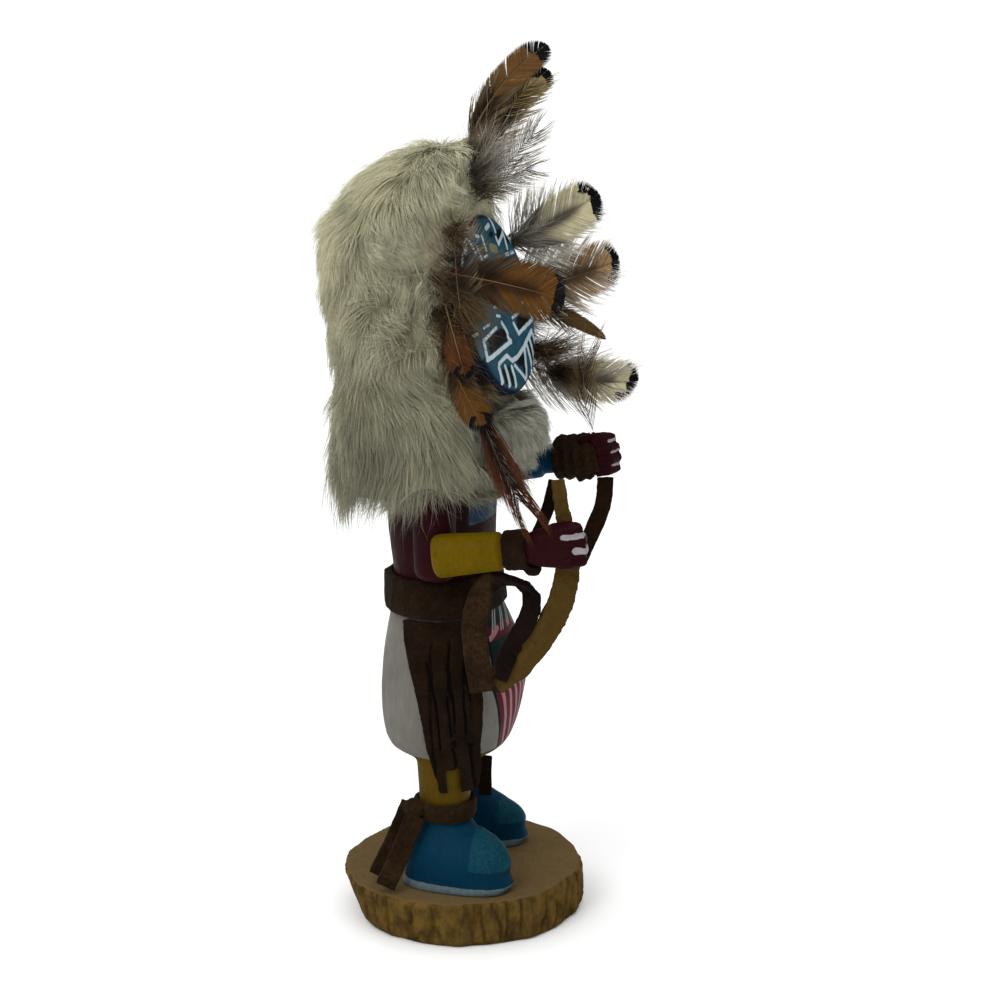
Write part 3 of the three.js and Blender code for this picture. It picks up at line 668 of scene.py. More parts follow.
# %% Face board
face_low, face_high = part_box("face_board")
FACE_RADIUS = (face_high.x - face_low.x) / 2 - 0.4 * MM
RIM = FACE_RADIUS / MM
FACE_PROFILE = [(0, -6.5), (RIM - 1, -6.5), (RIM, -5.4), (RIM, -2.4), (RIM - 0.7, -1.1),
                (RIM - 2.4, -0.3), (RIM - 5, 0.1), (0, 0.9)]
board = bmesh.new()
profile = [board.verts.new((radius * MM, 0, rise * MM)) for radius, rise in FACE_PROFILE]
edges = [board.edges.new(pair) for pair in zip(profile, profile[1:])]
bmesh.ops.subdivide_edges(board, edges=[edges[0], edges[-1]], cuts=12)
bmesh.ops.spin(board, geom=list(board.verts) + list(board.edges), cent=(0, 0, 0), axis=(0, 0, 1),
               angle=math.tau, steps=96, use_merge=True)
bmesh.ops.remove_doubles(board, verts=board.verts, dist=1e-6)
bmesh.ops.recalc_face_normals(board, faces=board.faces)
board = skin(board, 0.36 * MM, 3)

# Every stroke is (from, to, half width).
DARK_EYES = [
    ((-19, -10.2), (-8, -9), 1.3), ((-19.4, -12.4), (-6.6, -11), 1.7), ((-9, -10), (-6, -10.6), 2.2),
    ((8, -8.6), (12.6, -7.4), 1.3), ((8, -10), (17.6, -9.4), 1.5),
]
DARK_TEETH = [
    ((-13.2, -20.6), (-11.9, -24.8), 0.95), ((-8.2, -20.9), (-6.8, -26.4), 0.95),
    ((0, -20.4), (6.6, -19.4), 0.9), ((2, -21.4), (6.4, -21), 1.3), ((4.8, -21.5), (4.9, -24.4), 0.9),
    ((13.6, -16.4), (15.4, -22.6), 0.95), ((18.2, -16), (19.6, -21.2), 0.85),
]
DARK_BROW = [
    ((9.6, 21.6), (12.4, 21.8), 1.5), ((-7.4, 20.4), (-6.4, 18.4), 1.3),
    ((-17, 22.4), (-13.6, 20), 1.3), ((17.2, 20.6), (17.8, 18.4), 1.2),
    ((-22.6, 18.6), (-20, 18.4), 1.1), ((2.6, 22.4), (4.6, 22.6), 1.0),
]
PALE_EYES = [
    ((-23.6, -9.2), (-22.8, -15.2), 0.85), ((-22.8, -15.4), (-1.6, -13.4), 0.8),
    ((-23.6, -9.2), (-11.4, -6.9), 0.7), ((-6.2, -6.2), (-3.3, -10.6), 0.85),
    ((-3.8, -11.6), (-1.6, -13.6), 0.8), ((3.7, -8.4), (6.5, -12.2), 0.85),
    ((6.5, -12.4), (23.4, -10.4), 0.75), ((3.7, -6.3), (11.2, -5.7), 0.65),
    ((23.4, -10.4), (21, -7), 0.6),
]
PALE_MOUTH = [
    ((-15.6, -18.2), (-8, -16.9), 0.75), ((-8, -16.9), (-4.2, -19.3), 0.8),
    ((-4.2, -19.3), (1, -19.2), 0.85), ((1, -19.2), (10.2, -17), 0.85),
    ((10.2, -16.6), (19.6, -13.8), 0.9), ((-2.6, -21.2), (5.2, -27.2), 0.75),
    ((9, -17.8), (6.3, -27), 0.95), ((11.8, -16.2), (13.6, -25), 1.0),
    ((15.8, -15.8), (17.8, -23.6), 0.9), ((20.2, -15.2), (21.8, -20.6), 0.85),
    ((-16.2, -19.2), (-14.5, -24.4), 0.9), ((-11, -19.9), (-9.4, -26.2), 0.95),
    ((-5.6, -21.2), (-4.2, -27.4), 0.95),
]
PALE_BROW = [
    ((-27.6, 15.8), (-24.2, 16), 0.65), ((-18.6, 16), (-15.4, 15.8), 0.6),
    ((-7, 16.6), (-4.4, 16.6), 0.55), ((12, 14.6), (15, 14.4), 0.6), ((17, 14.4), (20, 14.2), 0.6),
    ((7.8, 28), (8.1, 22.8), 0.75), ((0.4, 24.8), (4.2, 25.6), 0.8), ((7.2, 21), (7.9, 18.6), 0.7),
    ((7.9, 18.7), (15.2, 21.6), 0.7), ((15.2, 21.6), (14.9, 16.4), 0.75),
    ((-4.8, 22.9), (-4, 18.4), 0.65), ((-10.8, 20.2), (-9.8, 16.4), 0.75),
    ((-9.4, 24), (-7.6, 23.4), 0.65), ((-19.6, 20), (-15.6, 24.4), 0.65),
    ((-15.6, 24.4), (-13, 18.4), 0.65), ((17.6, 22.4), (20.6, 17.6), 0.65),
    ((-23.6, 17), (-20.6, 20.8), 0.6),
]
PALE_DASHES = [
    ((-9.8, 0.4), (-7, 0), 0.55), ((-9.1, -3.1), (-6.6, -3.6), 0.6), ((-1.6, -1.8), (1.2, -2.4), 0.55),
    ((-21.6, -5), (-16.4, -4.7), 0.5), ((-12.2, 3.6), (-10.2, 2.9), 0.5),
    ((-30, -6.4), (-26.4, -6), 0.7), ((6, -1.6), (9, -1.6), 0.5), ((14, -2.6), (17.4, -3.2), 0.5),
    ((21.6, -4.4), (25, -5), 0.5),
]
CREAM_PATCH = [((0.6, 18.6), (4.6, 17.6), 1.6)]
CHEEK_BLUE = [((-27.4, -8.6), (-25.4, -13.4), 1.5)]
PAINTS = {
    "cream": (CREAM_PATCH, colour(120, 118, 88)),
    "cheek": (CHEEK_BLUE, colour(60, 92, 112)),
    "dark": (DARK_EYES + DARK_TEETH + DARK_BROW, colour(12, 13, 16)),
    "pale": (PALE_EYES + PALE_MOUTH + PALE_BROW + PALE_DASHES, colour(186, 200, 204)),
}


def cover(points, strokes):
    """The paint that strokes leave on flat points in millimetres: 1 inside, 0 outside."""
    covered = np.zeros(len(points))
    for start, stop, half in strokes:
        start, run = np.array(start, float), np.subtract(stop, start)
        share = np.clip(((points - start) @ run) / (run @ run), 0, 1)
        distance = np.linalg.norm(points - start - share[:, None] * run, axis=1)
        covered = np.maximum(covered, np.clip((0.92 * half - distance) / 0.5 + 0.5, 0, 1))
    return covered


flat = np.array([point.co[:2] for point in board.verts]) / MM
# the lower half of the pattern sits a little higher
flat[:, 1] -= 1.2 * np.clip(-flat[:, 1] / 8, -0.4, 1)
shaken = flat + 0.16 * np.array([drift(point.co / (2.2 * MM))[:2] for point in board.verts])
for title, (strokes, _) in PAINTS.items():
    layer = board.verts.layers.float.new(title)
    for point, amount in zip(board.verts, cover(shaken, strokes)):
        point[layer] = amount * (point.co.z > -1.5 * MM)
bmesh.ops.rotate(board, verts=board.verts, matrix=Matrix.Rotation(math.pi / 2 - FACE_LEAN, 3, "X"))
bmesh.ops.translate(board, verts=board.verts, vec=FACE_MIDDLE)
push(board, lambda place, normal: 0.06 * MM * bumps(place, 5 * MM))


def face_paint(tree, place):
    from_middle = vector_calc(tree, "SUBTRACT", place, tuple(FACE_MIDDLE))
    ground = mixed(tree, noisy(tree, place, 130.0, 4.0), colour(8, 50, 70), colour(42, 90, 106))
    # painted shade: the rim and side of the board are painted a much darker blue, for the shade on its side
    rim = between(tree, vector_calc(tree, "LENGTH", from_middle), 27.2 * MM, 28.4 * MM)
    ground = mixed(tree, rim, ground, colour(3, 22, 42))
    for title, (_, paint) in PAINTS.items():
        covered = between(tree, stored(tree, title)["Fac"], 0.3, 0.7)
        ground = mixed(tree, covered, ground, paint)
    return painted(tree, place, ground, 0.0)


keep("face", board, material("face paint", face_paint, depth=0.08 * MM), "face_paint", "face_board")

# %% [markdown]
# ## The forearms and fists
# The two forearms are carved apart from the body. Their paint follows a plan along each arm: the
# first length is the sleeve's colour, then the maroon hand with a pale stripe along every finger.

# %% Forearms
HAND_END = 51.4
ARMS = {
    # stripes along the arm: (start, end, height above the arm's middle, fall, half width)
    "right_forearm": {
        "elbow": (-31.2, -0.6, 128.5), "fist": (-25.4, -52, 135.8), "sleeve": colour(91, 72, 0),
        "sleeve_end": 24.6,
        "stripes": [(48.2, 52, 7.8, 1.8, 0.8), (43.3, 49.4, 3.7, 0.1, 0.8), (51, 51.6, 2.2, 0.8, 0.55),
                    (46.8, 52.4, -0.9, 1.3, 1.05)],
    },
    "left_forearm": {
        "elbow": (29.4, 5, 144.4), "fist": (24.6, -47.8, 153.8), "sleeve": colour(2, 56, 84),
        "sleeve_end": 28.2,
        "stripes": [(48.6, HAND_END, 4.6, 0.3, 0.5), (49.4, HAND_END, 0.8, 0.1, 0.45),
                    (48.8, HAND_END, -3.6, -0.2, 0.45)],
    },
}


def arm_paint(elbow, fist, sleeve, sleeve_end, stripes):
    run = (Vector(fist) - Vector(elbow)).normalized()
    upright = (Vector((0, 0, 1)) - run * run.z).normalized()
    soiled = tuple(0.55 * channel for channel in sleeve[:3]) + (1,)

    def design(tree, place):
        offset = vector_calc(tree, "SUBTRACT", place, tuple(Vector(elbow) * MM))
        along = in_mm(tree, vector_calc(tree, "DOT_PRODUCT", offset, tuple(run)))
        rise = in_mm(tree, vector_calc(tree, "DOT_PRODUCT", offset, tuple(upright)))
        lines = [((start, high), (stop, high - fall), half) for start, stop, high, fall, half in stripes]
        shake = calc(tree, "MULTIPLY_ADD", noisy(tree, place, 420.0, 3.0), 1.2, -0.6)
        plan = joined(tree, calc(tree, "ADD", along, shake), calc(tree, "ADD", rise, shake), 0.0)
        hand = draw(tree, MAROON, plan, colour(150, 142, 146), lines)
        worn = between(tree, noisy(tree, place, 260.0, 4.0, 0.7), 0.52, 0.72)
        cloth = mixed(tree, calc(tree, "MULTIPLY", worn, 0.45), sleeve, soiled)
        past_sleeve = between(tree, along, sleeve_end, sleeve_end + 1)
        return painted(tree, place, mixed(tree, past_sleeve, cloth, hand))

    return design


for node, arm in ARMS.items():
    made = skin(copy_of(node), 0.45 * MM, 5)
    push(made, lambda place, normal: 0.07 * MM * bumps(place, 3 * MM))
    keep(node.replace("forearm", "arm"), made, material(node + " paint", arm_paint(**arm), depth=0.1 * MM),
         "painted_wood", node)

# %% [markdown]
# ## Suede, and the bark of the bow
# Belt, fringe, ties and tails are cut from soft split leather. Each solid is skinned finely, its
# outline is made a little ragged, and the nap comes from the suede group. The bow is a strip of raw
# bark, so it gets the same treatment with a coarser edge and a fibrous colour.

# %% Suede pieces and the bow
def napped(tree, place, dye, rubbed):
    out = use(tree, SUEDE, Dye=dye, Rubbed=rubbed, Place=place)
    return {"colour": out["Colour"], "height": out["Height"]}


def suede_material(name, design):
    return material(name, design, roughness=0.95, sheen=0.02, specular=0.03, depth=0.3 * MM)


def suede_finish(name, dye, rubbed):
    return suede_material(name, lambda tree, place: napped(tree, place, dye, rubbed))


DARK_SUEDE = suede_finish("dark suede", colour(21, 12, 6), colour(42, 28, 16))
BELT_SUEDE = suede_finish("belt suede", colour(24, 14, 7), colour(52, 37, 22))
FUZZY_SUEDE = suede_finish("fuzzy suede", colour(28, 17, 8), colour(58, 42, 25))


def sling_suede(tree, place):
    """The front strand of the sling is smooth and dark, the back one shows the fuzzy side."""
    back = between(tree, split(tree, place)[1], -20.5 * MM, -18 * MM)
    dye = mixed(tree, back, colour(17, 9, 7), colour(32, 20, 10))
    rubbed = mixed(tree, back, colour(32, 20, 15), colour(68, 50, 31))
    return napped(tree, place, dye, rubbed)


SLING_SUEDE = suede_material("sling suede", sling_suede)


def bark_fibre(tree, place):
    fibres = noisy(tree, place, 700.0, 5.0, 0.7, stretch=(1.0, 0.5, 0.3))
    patches = noisy(tree, place, 130.0, 3.0)
    tan = mixed(tree, fibres, colour(46, 32, 9), colour(90, 69, 33))
    tan = mixed(tree, between(tree, patches, 0.35, 0.75), tan, colour(70, 53, 22))
    return {"colour": tan, "height": fibres}


BOW_BARK = material("bow bark", bark_fibre, roughness=0.92, depth=0.3 * MM)


def ragged(amount, size):
    return lambda place, normal: amount * (bumps(place, size) + 0.5 * bumps(place, size / 2.4, 6.0))


STRIPS = {
    # node: fineness of the skin, rubs, raggedness, its grain, finish
    "belt": (0.6, 6, 0.12, 3.0, BELT_SUEDE),
    "belt_fringe": (0.38, 4, 0.1, 2.5, DARK_SUEDE),
    "right_wristband": (0.4, 4, 0.22, 2.2, DARK_SUEDE),
    "left_wrist_tail_front": (0.32, 3, 0.14, 2.0, DARK_SUEDE),
    "left_wrist_tail_back": (0.32, 3, 0.14, 2.0, DARK_SUEDE),
    "bow_sling": (0.3, 3, 0.12, 2.0, SLING_SUEDE),
    "right_leg_tie": (0.4, 3, 0.16, 2.2, FUZZY_SUEDE),
    "left_leg_tie": (0.4, 3, 0.16, 2.2, DARK_SUEDE),
    "bow": (0.4, 2, 0.42, 2.0, BOW_BARK),
}
FRINGE_CUTS = [((2.4, 100), (0.5, 47)), ((-3.4, 100), (-5.8, 47)), ((-8.3, 94), (-10.2, 47))]


def slits(place, normal):
    """The cuts between the strips of the fringe; each runs from a (y, z) to a (y, z), in millimetres."""
    depth = 0.0
    for (top_y, top), (foot_y, foot) in FRINGE_CUTS:
        way = (top - place.z / MM) / (top - foot)
        off = place.y / MM - top_y - way * (foot_y - top_y) + 0.5 * bumps(place, 7 * MM, top)
        depth = max(depth, math.exp(-((off / 0.42) ** 2)) * min(1.0, max(0.0, way * 12)))
    return -1.5 * MM * depth


LEFT_RUN = (Vector(ARMS["left_forearm"]["fist"]) - Vector(ARMS["left_forearm"]["elbow"])).normalized()

for node, (fineness, rubs, amount, size, finish) in STRIPS.items():
    made = skin(copy_of(node), fineness * MM, rubs)
    if node == "bow_sling":
        push(made, lambda place, normal: 0.38 * MM)
    if node == "belt_fringe":
        push(made, slits)
    if node == "left_wrist_tail_back":
        # it hangs a little nearer to the elbow than its solid
        bmesh.ops.translate(made, verts=made.verts, vec=LEFT_RUN * -2.2 * MM)
    push(made, ragged(amount * MM, size * MM))
    name, slot = ("bark_bow", "bark") if node == "bow" else (node + "_cut", "suede")
    keep(name, made, finish, slot, node)

# %% [markdown]
# The strips of the fringe hang in more than one layer, and what shows between them is painted shade and
# not the kilt. A coarser skin of the same solid closes its slits; drawn in a little, it is a very dark
# sheet of suede in shade behind them.

# %% Layer behind the fringe
shade_sheet = skin(copy_of("belt_fringe"), 1.3 * MM, 3)
push(shade_sheet, lambda place, normal: -0.62 * MM)
keep("fringe_shade_layer", shade_sheet, suede_finish("suede in shade", colour(9, 5, 3), colour(16, 10, 6)), "suede")

# %% [markdown]
# The left wrist is bound with a thick, shaggy thong. Ridges that wind round the arm are pushed into
# its skin: a cosine of the angle plus the way along the arm gives a screw. The binding sits a
# little further along the arm than its solid.

# %% Bound wrist
left_elbow = Vector(ARMS["left_forearm"]["elbow"]) * MM
THONG_PITCH = 3.9 * MM


def winding(place, normal):
    offset = place - left_elbow
    way = offset.dot(LEFT_RUN)
    spoke = offset - LEFT_RUN * way
    turn = math.atan2(spoke.z, spoke.x)
    ridge = math.cos(turn + way / THONG_PITCH * math.tau)
    return 0.45 * MM * ridge + 0.3 * MM * bumps(place, 1.6 * MM) + 0.15 * MM * bumps(place, 0.8 * MM, 3.0)


binding = skin(copy_of("left_wristband"), 0.42 * MM, 3)
bmesh.ops.translate(binding, verts=binding.verts, vec=LEFT_RUN * 1.6 * MM)
push(binding, winding)
keep("left_binding", binding, FUZZY_SUEDE, "suede", "left_wristband")

# %% [markdown]
# ## Strands
# Fur and feathers are thousands of fine tapering strands. One strand is modelled: a triangle drawn
# up ring by ring and closed to a point. Copies of it are then bent along their own routes with
# arrays, which is thousands of times quicker than one object each. Every strand keeps a tint of
# four values for the shader. Each kind of strand states which, and where along it its rings are.

# %% Strand tools
FUR_RINGS = np.linspace(0, 1, 4)
BARB_RINGS = np.linspace(0, 1, 6)
SHAFT_RINGS = np.linspace(0, 1, 12)


def strand(rings):
    made = bmesh.new()
    bmesh.ops.create_circle(made, cap_ends=True, segments=3, radius=1)
    edges = list(made.edges)
    for _ in range(1, rings):
        grown = bmesh.ops.extrude_edge_only(made, edges=edges)["geom"]
        risen = [part for part in grown if isinstance(part, bmesh.types.BMVert)]
        bmesh.ops.translate(made, verts=risen, vec=(0, 0, 1))
        edges = [edge for edge in made.edges if all(point in risen for point in edge.verts)]
    bmesh.ops.pointmerge(made, verts=risen, merge_co=(0, 0, rings - 1))
    bmesh.ops.triangulate(made, faces=made.faces)
    bmesh.ops.recalc_face_normals(made, faces=made.faces)
    made.verts.index_update()
    points = np.array([point.co for point in made.verts])
    faces = np.array([[point.index for point in face.verts] for face in made.faces])
    made.free()
    return points, faces


def unit(vectors):
    return vectors / np.maximum(np.linalg.norm(vectors, axis=-1, keepdims=True), 1e-12)


def bend(template, routes, sides, widths, thicks, tints):
    """Copies of a strand along routes[strand, ring], as points, triangles and tints."""
    points, faces = template
    ring = np.rint(points[:, 2]).astype(int)
    along = unit(np.gradient(routes, axis=1))
    across = np.broadcast_to(sides[:, None], along.shape)
    across = unit(across - along * (across * along).sum(-1, keepdims=True))
    out = np.cross(along, across)
    placed = routes[:, ring]
    placed = placed + across[:, ring] * (points[:, 0] * widths[:, ring])[..., None]
    placed = placed + out[:, ring] * (points[:, 1] * thicks[:, ring])[..., None]
    steps = np.arange(len(routes))[:, None, None] * len(points)
    return placed.reshape(-1, 3), (faces[None] + steps).reshape(-1, 3), tints[:, ring].reshape(-1, 4)


def tinted(count, rings, *values):
    """The tint of every ring of `count` strands."""
    tints = np.ones((count, len(rings), 4))
    for channel, value in enumerate(values):
        tints[..., channel] = value
    return tints


def tint_values(tree):
    """The four values of a strand's tint, as a shader reads them."""
    tint = stored(tree, "tint")
    channels = tree.nodes.new("ShaderNodeSeparateColor")
    feed(tree, channels.inputs[0], tint["Color"])
    return (*channels.outputs, tint["Alpha"])


def strand_mesh(name, batches):
    points = np.concatenate([batch[0] for batch in batches])
    starts = np.cumsum([0] + [len(batch[0]) for batch in batches[:-1]])
    faces = np.concatenate([batch[1] + start for batch, start in zip(batches, starts)])
    tints = np.concatenate([batch[2] for batch in batches])
    data = bpy.data.meshes.new(name)
    data.vertices.add(len(points))
    data.vertices.foreach_set("co", points.astype(np.float32).ravel())
    data.loops.add(faces.size)
    data.loops.foreach_set("vertex_index", faces.astype(np.int32).ravel())
    data.polygons.add(len(faces))
    data.polygons.foreach_set("loop_start", np.arange(0, faces.size, 3, dtype=np.int32))
    data.update(calc_edges=True)
    layer = data.color_attributes.new("tint", "FLOAT_COLOR", "POINT")
    layer.data.foreach_set("color", tints.astype(np.float32).ravel())
    return data


FUR_STRAND = strand(len(FUR_RINGS))
BARB_STRAND = strand(len(BARB_RINGS))
SHAFT_STRAND = strand(len(SHAFT_RINGS))
print("fur strand faces:", len(FUR_STRAND[1]), "barb faces:", len(BARB_STRAND[1]))

# %% [markdown]
# ## Fur
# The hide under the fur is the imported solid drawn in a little, so the hair fills it out again. Roots
# are scattered evenly over the outside. Each hair leaves the skin at a low angle, follows a flow
# that runs down and back with slow whorls, and its tip leans towards the tip of its tuft, because
# real fur gathers in locks.

# %% Fur
def scatter(hide, count, seed, wanted):
    """Roots and normals spread evenly over the faces that `wanted` accepts, and the random draws."""
    surface = hide.copy()
    bmesh.ops.triangulate(surface, faces=surface.faces)
    surface.normal_update()
    kept = [face for face in surface.faces if wanted(face.calc_center_median(), face.normal)]
    corners = np.array([[point.co for point in face.verts] for face in kept])
    normals = np.array([[point.normal for point in face.verts] for face in kept])
    surface.free()
    areas = np.linalg.norm(np.cross(corners[:, 1] - corners[:, 0], corners[:, 2] - corners[:, 0]), axis=1)
    random = np.random.default_rng(seed)
    chosen = random.choice(len(kept), size=count, p=areas / areas.sum())
    first, second = random.random((2, count))
    over = first + second > 1
    first[over], second[over] = 1 - first[over], 1 - second[over]
    shares = np.stack([1 - first - second, first, second], axis=1)[..., None]
    return (corners[chosen] * shares).sum(1), unit((normals[chosen] * shares).sum(1)), random


def swirl(roots, size, seed):
    """A slowly turning direction for every root."""
    return np.array([drift(Vector(root) / size + Vector((seed, 0, 0))) for root in roots])


def hair(roots, normals, random, flow, length, lift, tuft, half_width, gather=0.55):
    """Routes, sides, widths and tints of hairs that lie along `flow` and gather in tufts.

    The tint holds the way along the hair, a value of its own and a value of its tuft.
    """
    count = len(roots)
    lying = unit(flow - normals * (flow * normals).sum(1, keepdims=True))
    lengths = length * random.uniform(0.7, 1.15, count)[:, None]
    lifts = lift * random.uniform(0.5, 1.5, count)[:, None]
    seeds = random.choice(count, size=max(1, count // tuft), replace=False)
    tree = KDTree(len(seeds))
    for number, seed in enumerate(seeds):
        tree.insert(roots[seed], number)
    tree.balance()
    own = seeds[[tree.find(root)[1] for root in roots]]
    ends = roots + lengths * (lying + normals * lifts * 0.8)
    pull = ends[own] - ends
    curl = unit(np.cross(lying, normals)) * random.normal(0, 0.1, count)[:, None] * lengths
    routes = np.stack([
        roots + lengths * (lying * t + normals * lifts * (1.9 * t - 1.1 * t * t))
        + pull * gather * t ** 1.5 + curl * (t * t - t) * 2
        for t in FUR_RINGS
    ], axis=1)
    thin = half_width * random.uniform(0.7, 1.3, count)[:, None] * (1 - 0.75 * FUR_RINGS ** 1.6)
    single = random.random(count)[:, None]
    lock = random.random(count)[own][:, None]
    return routes, normals, thin, thin * 0.6, tinted(count, FUR_RINGS, FUR_RINGS, single, lock)


def fur_colour(pale, middle, shadow, shade_below):
    def design(tree, place):
        along, single, lock, _ = tint_values(tree)
        coat = mixed(tree, between(tree, along, 0.0, 0.75), shadow, middle)
        coat = mixed(tree, calc(tree, "MULTIPLY", between(tree, single, 0.35, 1.0), along), coat, pale)
        shade = calc(tree, "MULTIPLY_ADD", lock, 0.26, 0.87)
        height = split(tree, place)[2]
        # painted shade: the coat is darker towards its lower edge, from 214 mm down to 138 mm, as the light
        # falls from above
        low = between(tree, height, 138 * MM, 214 * MM, shade_below, 1.0)
        clouds = between(tree, noisy(tree, place, 60.0, 3.0), 0.3, 0.7, 0.84, 1.1)
        shade = calc(tree, "MULTIPLY", calc(tree, "MULTIPLY", shade, low), clouds)
        return {"colour": shaded(tree, coat, shade)}
    return design


def fur_finish(name, shade_below, *tones):
    """Tones are the palest hairs, the coat and the shadow at its roots; the first value is how far the
    painted shade darkens the lower edge of the coat.
    """
    design = fur_colour(*(colour(*tone) for tone in tones), shade_below)
    return material(name, design, roughness=0.85, sheen=0.1, specular=0.12)


CREAM_FUR = fur_finish("cream fur", 0.52, (232, 229, 203), (212, 208, 176), (166, 160, 128))
WHITE_FUR = fur_finish("white fur", 1.0, (206, 205, 190), (168, 167, 152), (106, 103, 90))


def hide_colour(tree, place):
    felt = noisy(tree, place, 900.0, 5.0, 0.7, stretch=(1.0, 1.0, 0.2))
    return {"colour": mixed(tree, felt, colour(104, 98, 76), colour(158, 152, 126)), "height": felt}


UNDERCOAT = material("undercoat", hide_colour, roughness=0.95, depth=0.4 * MM)

HEAD_BACK = 14 * MM
CROWN = np.array((0.0, 6.0, 256.0)) * MM
COAT_PIECES = ("crown", "nape", "right", "left", "loose")
COAT_STRANDS = 11400
FRONT_STRANDS = 2600
RUFF_STRANDS = 8000
HAIR_LENGTH = 13 * MM
# the (y, z) in millimetres where the hairs of the hem end
HEM_TIPS = [(-16, 147), (-8, 142.5), (3, 132.5), (11, 136), (19, 145), (29, 140), (46, 138)]


def outside(place, normal):
    outward = normal.dot(Vector((place.x, place.y - HEAD_BACK, max(0.0, place.z - 215 * MM))))
    return outward > 0.1 * MM and normal.z > -0.2


def coat_flow(roots):
    """Down and back, in slow whorls on the head and straighter towards the hem."""
    high = np.clip((roots[:, 2:3] / MM - 165) / 50, 0, 1)
    top = np.clip((roots[:, 2:3] / MM - 222) / 22, 0, 1)
    front = np.clip((-roots[:, 1:2] / MM + 4) / 10, 0, 1)
    flow = np.array((0.0, 0.12, -1.0)) * (1 - 0.45 * high) + top * unit(roots - CROWN) * 0.9
    flow = flow + front * np.array((0.0, -0.8, 0.15))
    flow = flow + swirl(roots, 22 * MM, 1.0) * (0.3 + 1.5 * high)
    return flow + swirl(roots, 8 * MM, 7.0) * (0.25 + 0.4 * high)


def hide_rule(place, normal):
    """The hide lies deep under the hair, but less so along its front edge, where hair lies forward."""
    front = min(1.0, max(0.0, 5 - place.y / MM) / 9) * min(1.0, max(0.0, abs(place.x) / MM - 12) / 8)
    crown = 1.8 * min(1.0, max(0.0, normal.z - 0.35) * 2.5)
    depth = (2.4 * front + crown - 4.6) * MM
    return depth + 1.3 * MM * bumps(place, 14 * MM) + 0.5 * MM * bumps(place, 5 * MM, 2.0)


def at_front_edge(place, normal):
    return place.y < 5 * MM and abs(place.x) > 17 * MM and place.z > 178 * MM


coat = skin(copy_of("fur_headdress"), 1.6 * MM, 16)
push(coat, hide_rule)
for number, title in enumerate(COAT_PIECES):
    roots, normals, random = scatter(coat, COAT_STRANDS, 11 + number, outside)
    lift = 0.22 + 0.1 * (title == "loose")
    back, height = roots[:, 1:2] / MM, roots[:, 2:3] / MM
    hem = np.interp(back, *zip(*HEM_TIPS)) + random.normal(0, 2.4, height.shape)
    near_hem = np.clip(2.2 - 0.05 * (height - hem), 0, 1)
    straggler = (random.random(height.shape) < 0.14) * near_hem
    hem = hem - straggler * random.uniform(4, 15, height.shape)
    brow = np.clip((height - 222) / 10, 0, 1) * np.clip((4 - back) / 6, 0, 1)
    longest = HAIR_LENGTH * (1 + 0.9 * straggler)
    length = np.clip(roots[:, 2:3] - hem * MM, 3.5 * MM, longest) * (1 - 0.5 * brow)
    parts = hair(roots, normals, random, coat_flow(roots), length, lift, 34, 0.1 * MM, gather=0.45)
    keep(f"fur_{title}", strand_mesh("fur", [bend(FUR_STRAND, *parts)]), CREAM_FUR, "fur")
roots, normals, random = scatter(coat, FRONT_STRANDS, 21, at_front_edge)
flow = np.array((0.0, -0.9, -0.35)) + swirl(roots, 9 * MM, 3.0) * 1.1
parts = hair(roots, normals, random, flow, 11 * MM, 0.35, 16, 0.09 * MM, gather=0.5)
keep("fur_front_wisps", strand_mesh("fur", [bend(FUR_STRAND, *parts)]), CREAM_FUR, "fur")
keep("fur_hide", coat, UNDERCOAT, "fur", "fur_headdress")

# %% [markdown]
# The roll under the chin is a whiter, shorter and fluffier fur that stands out all round.

# %% Chin ruff
def ruff_rule(place, normal):
    """The hide lies deep under the hair, and deepest along the lower edge of the roll."""
    return -4.2 * MM - 0.3 * max(0.0, 163 * MM - place.z) + 0.7 * MM * bumps(place, 9 * MM)


def faces_out(place, normal):
    return normal.dot(Vector((place.x, place.y - 4 * MM, 0))) > 0


ruff = skin(copy_of("fur_ruff"), 1.4 * MM, 8)
push(ruff, ruff_rule)
roots, normals, random = scatter(ruff, RUFF_STRANDS, 31, faces_out)
flow = np.array((0.0, -0.25, -0.7)) + swirl(roots, 14 * MM, 4.0) * 1.3
parts = hair(roots, normals, random, flow, 7.5 * MM, 0.4, 18, 0.09 * MM)
keep("ruff_hair", strand_mesh("ruff_hair", [bend(FUR_STRAND, *parts)]), WHITE_FUR, "fur")
keep("ruff_hide", ruff, UNDERCOAT, "fur", "fur_ruff")

# %% [markdown]
# ## Feathers
# A feather is a shaft with barbs on both sides. Near the tip the barbs lie close and make a smooth
# vane, which splits here and there; lower down they are long and separate, and at the quill they are
# a soft fluff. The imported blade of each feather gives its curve, fitted as a parabola through its
# points, its side and its width. The ends of the barbs are spaced evenly along the outline.

# %% Feather tools
# The kinds of strand that a feather has. A value up to 0.5 is added to the first two.
VANE = 0
LOOSE = 1
SHAFT = 2.2
BLACK_TIP = colour(8, 7, 9)


def blade(node, hub):
    """A packed feather's curve from quill to tip, its side and its half width.

    The quill is the end nearer to the hub.
    """
    solid = copy_of(node)
    points = np.array([point.co for point in solid.verts])
    solid.free()
    middle = points.mean(0)
    _, _, axes = np.linalg.svd(points - middle)
    way = (points - middle) @ axes[0]
    way = (way - way.min()) / (way.max() - way.min())
    fits = [np.polyfit(way, points[:, k], 2) for k in range(3)]
    start, stop = (np.array([np.polyval(fit, end) for fit in fits]) for end in (0.0, 1.0))
    turned = np.linalg.norm(start - hub) > np.linalg.norm(stop - hub)
    half = np.abs((points - middle) @ axes[1]).max()

    def curve(share):
        share = np.asarray(share, float)
        given = 1 - share if turned else share
        return np.stack([np.polyval(fit, given) for fit in fits], axis=-1)

    return curve, axes[1], half


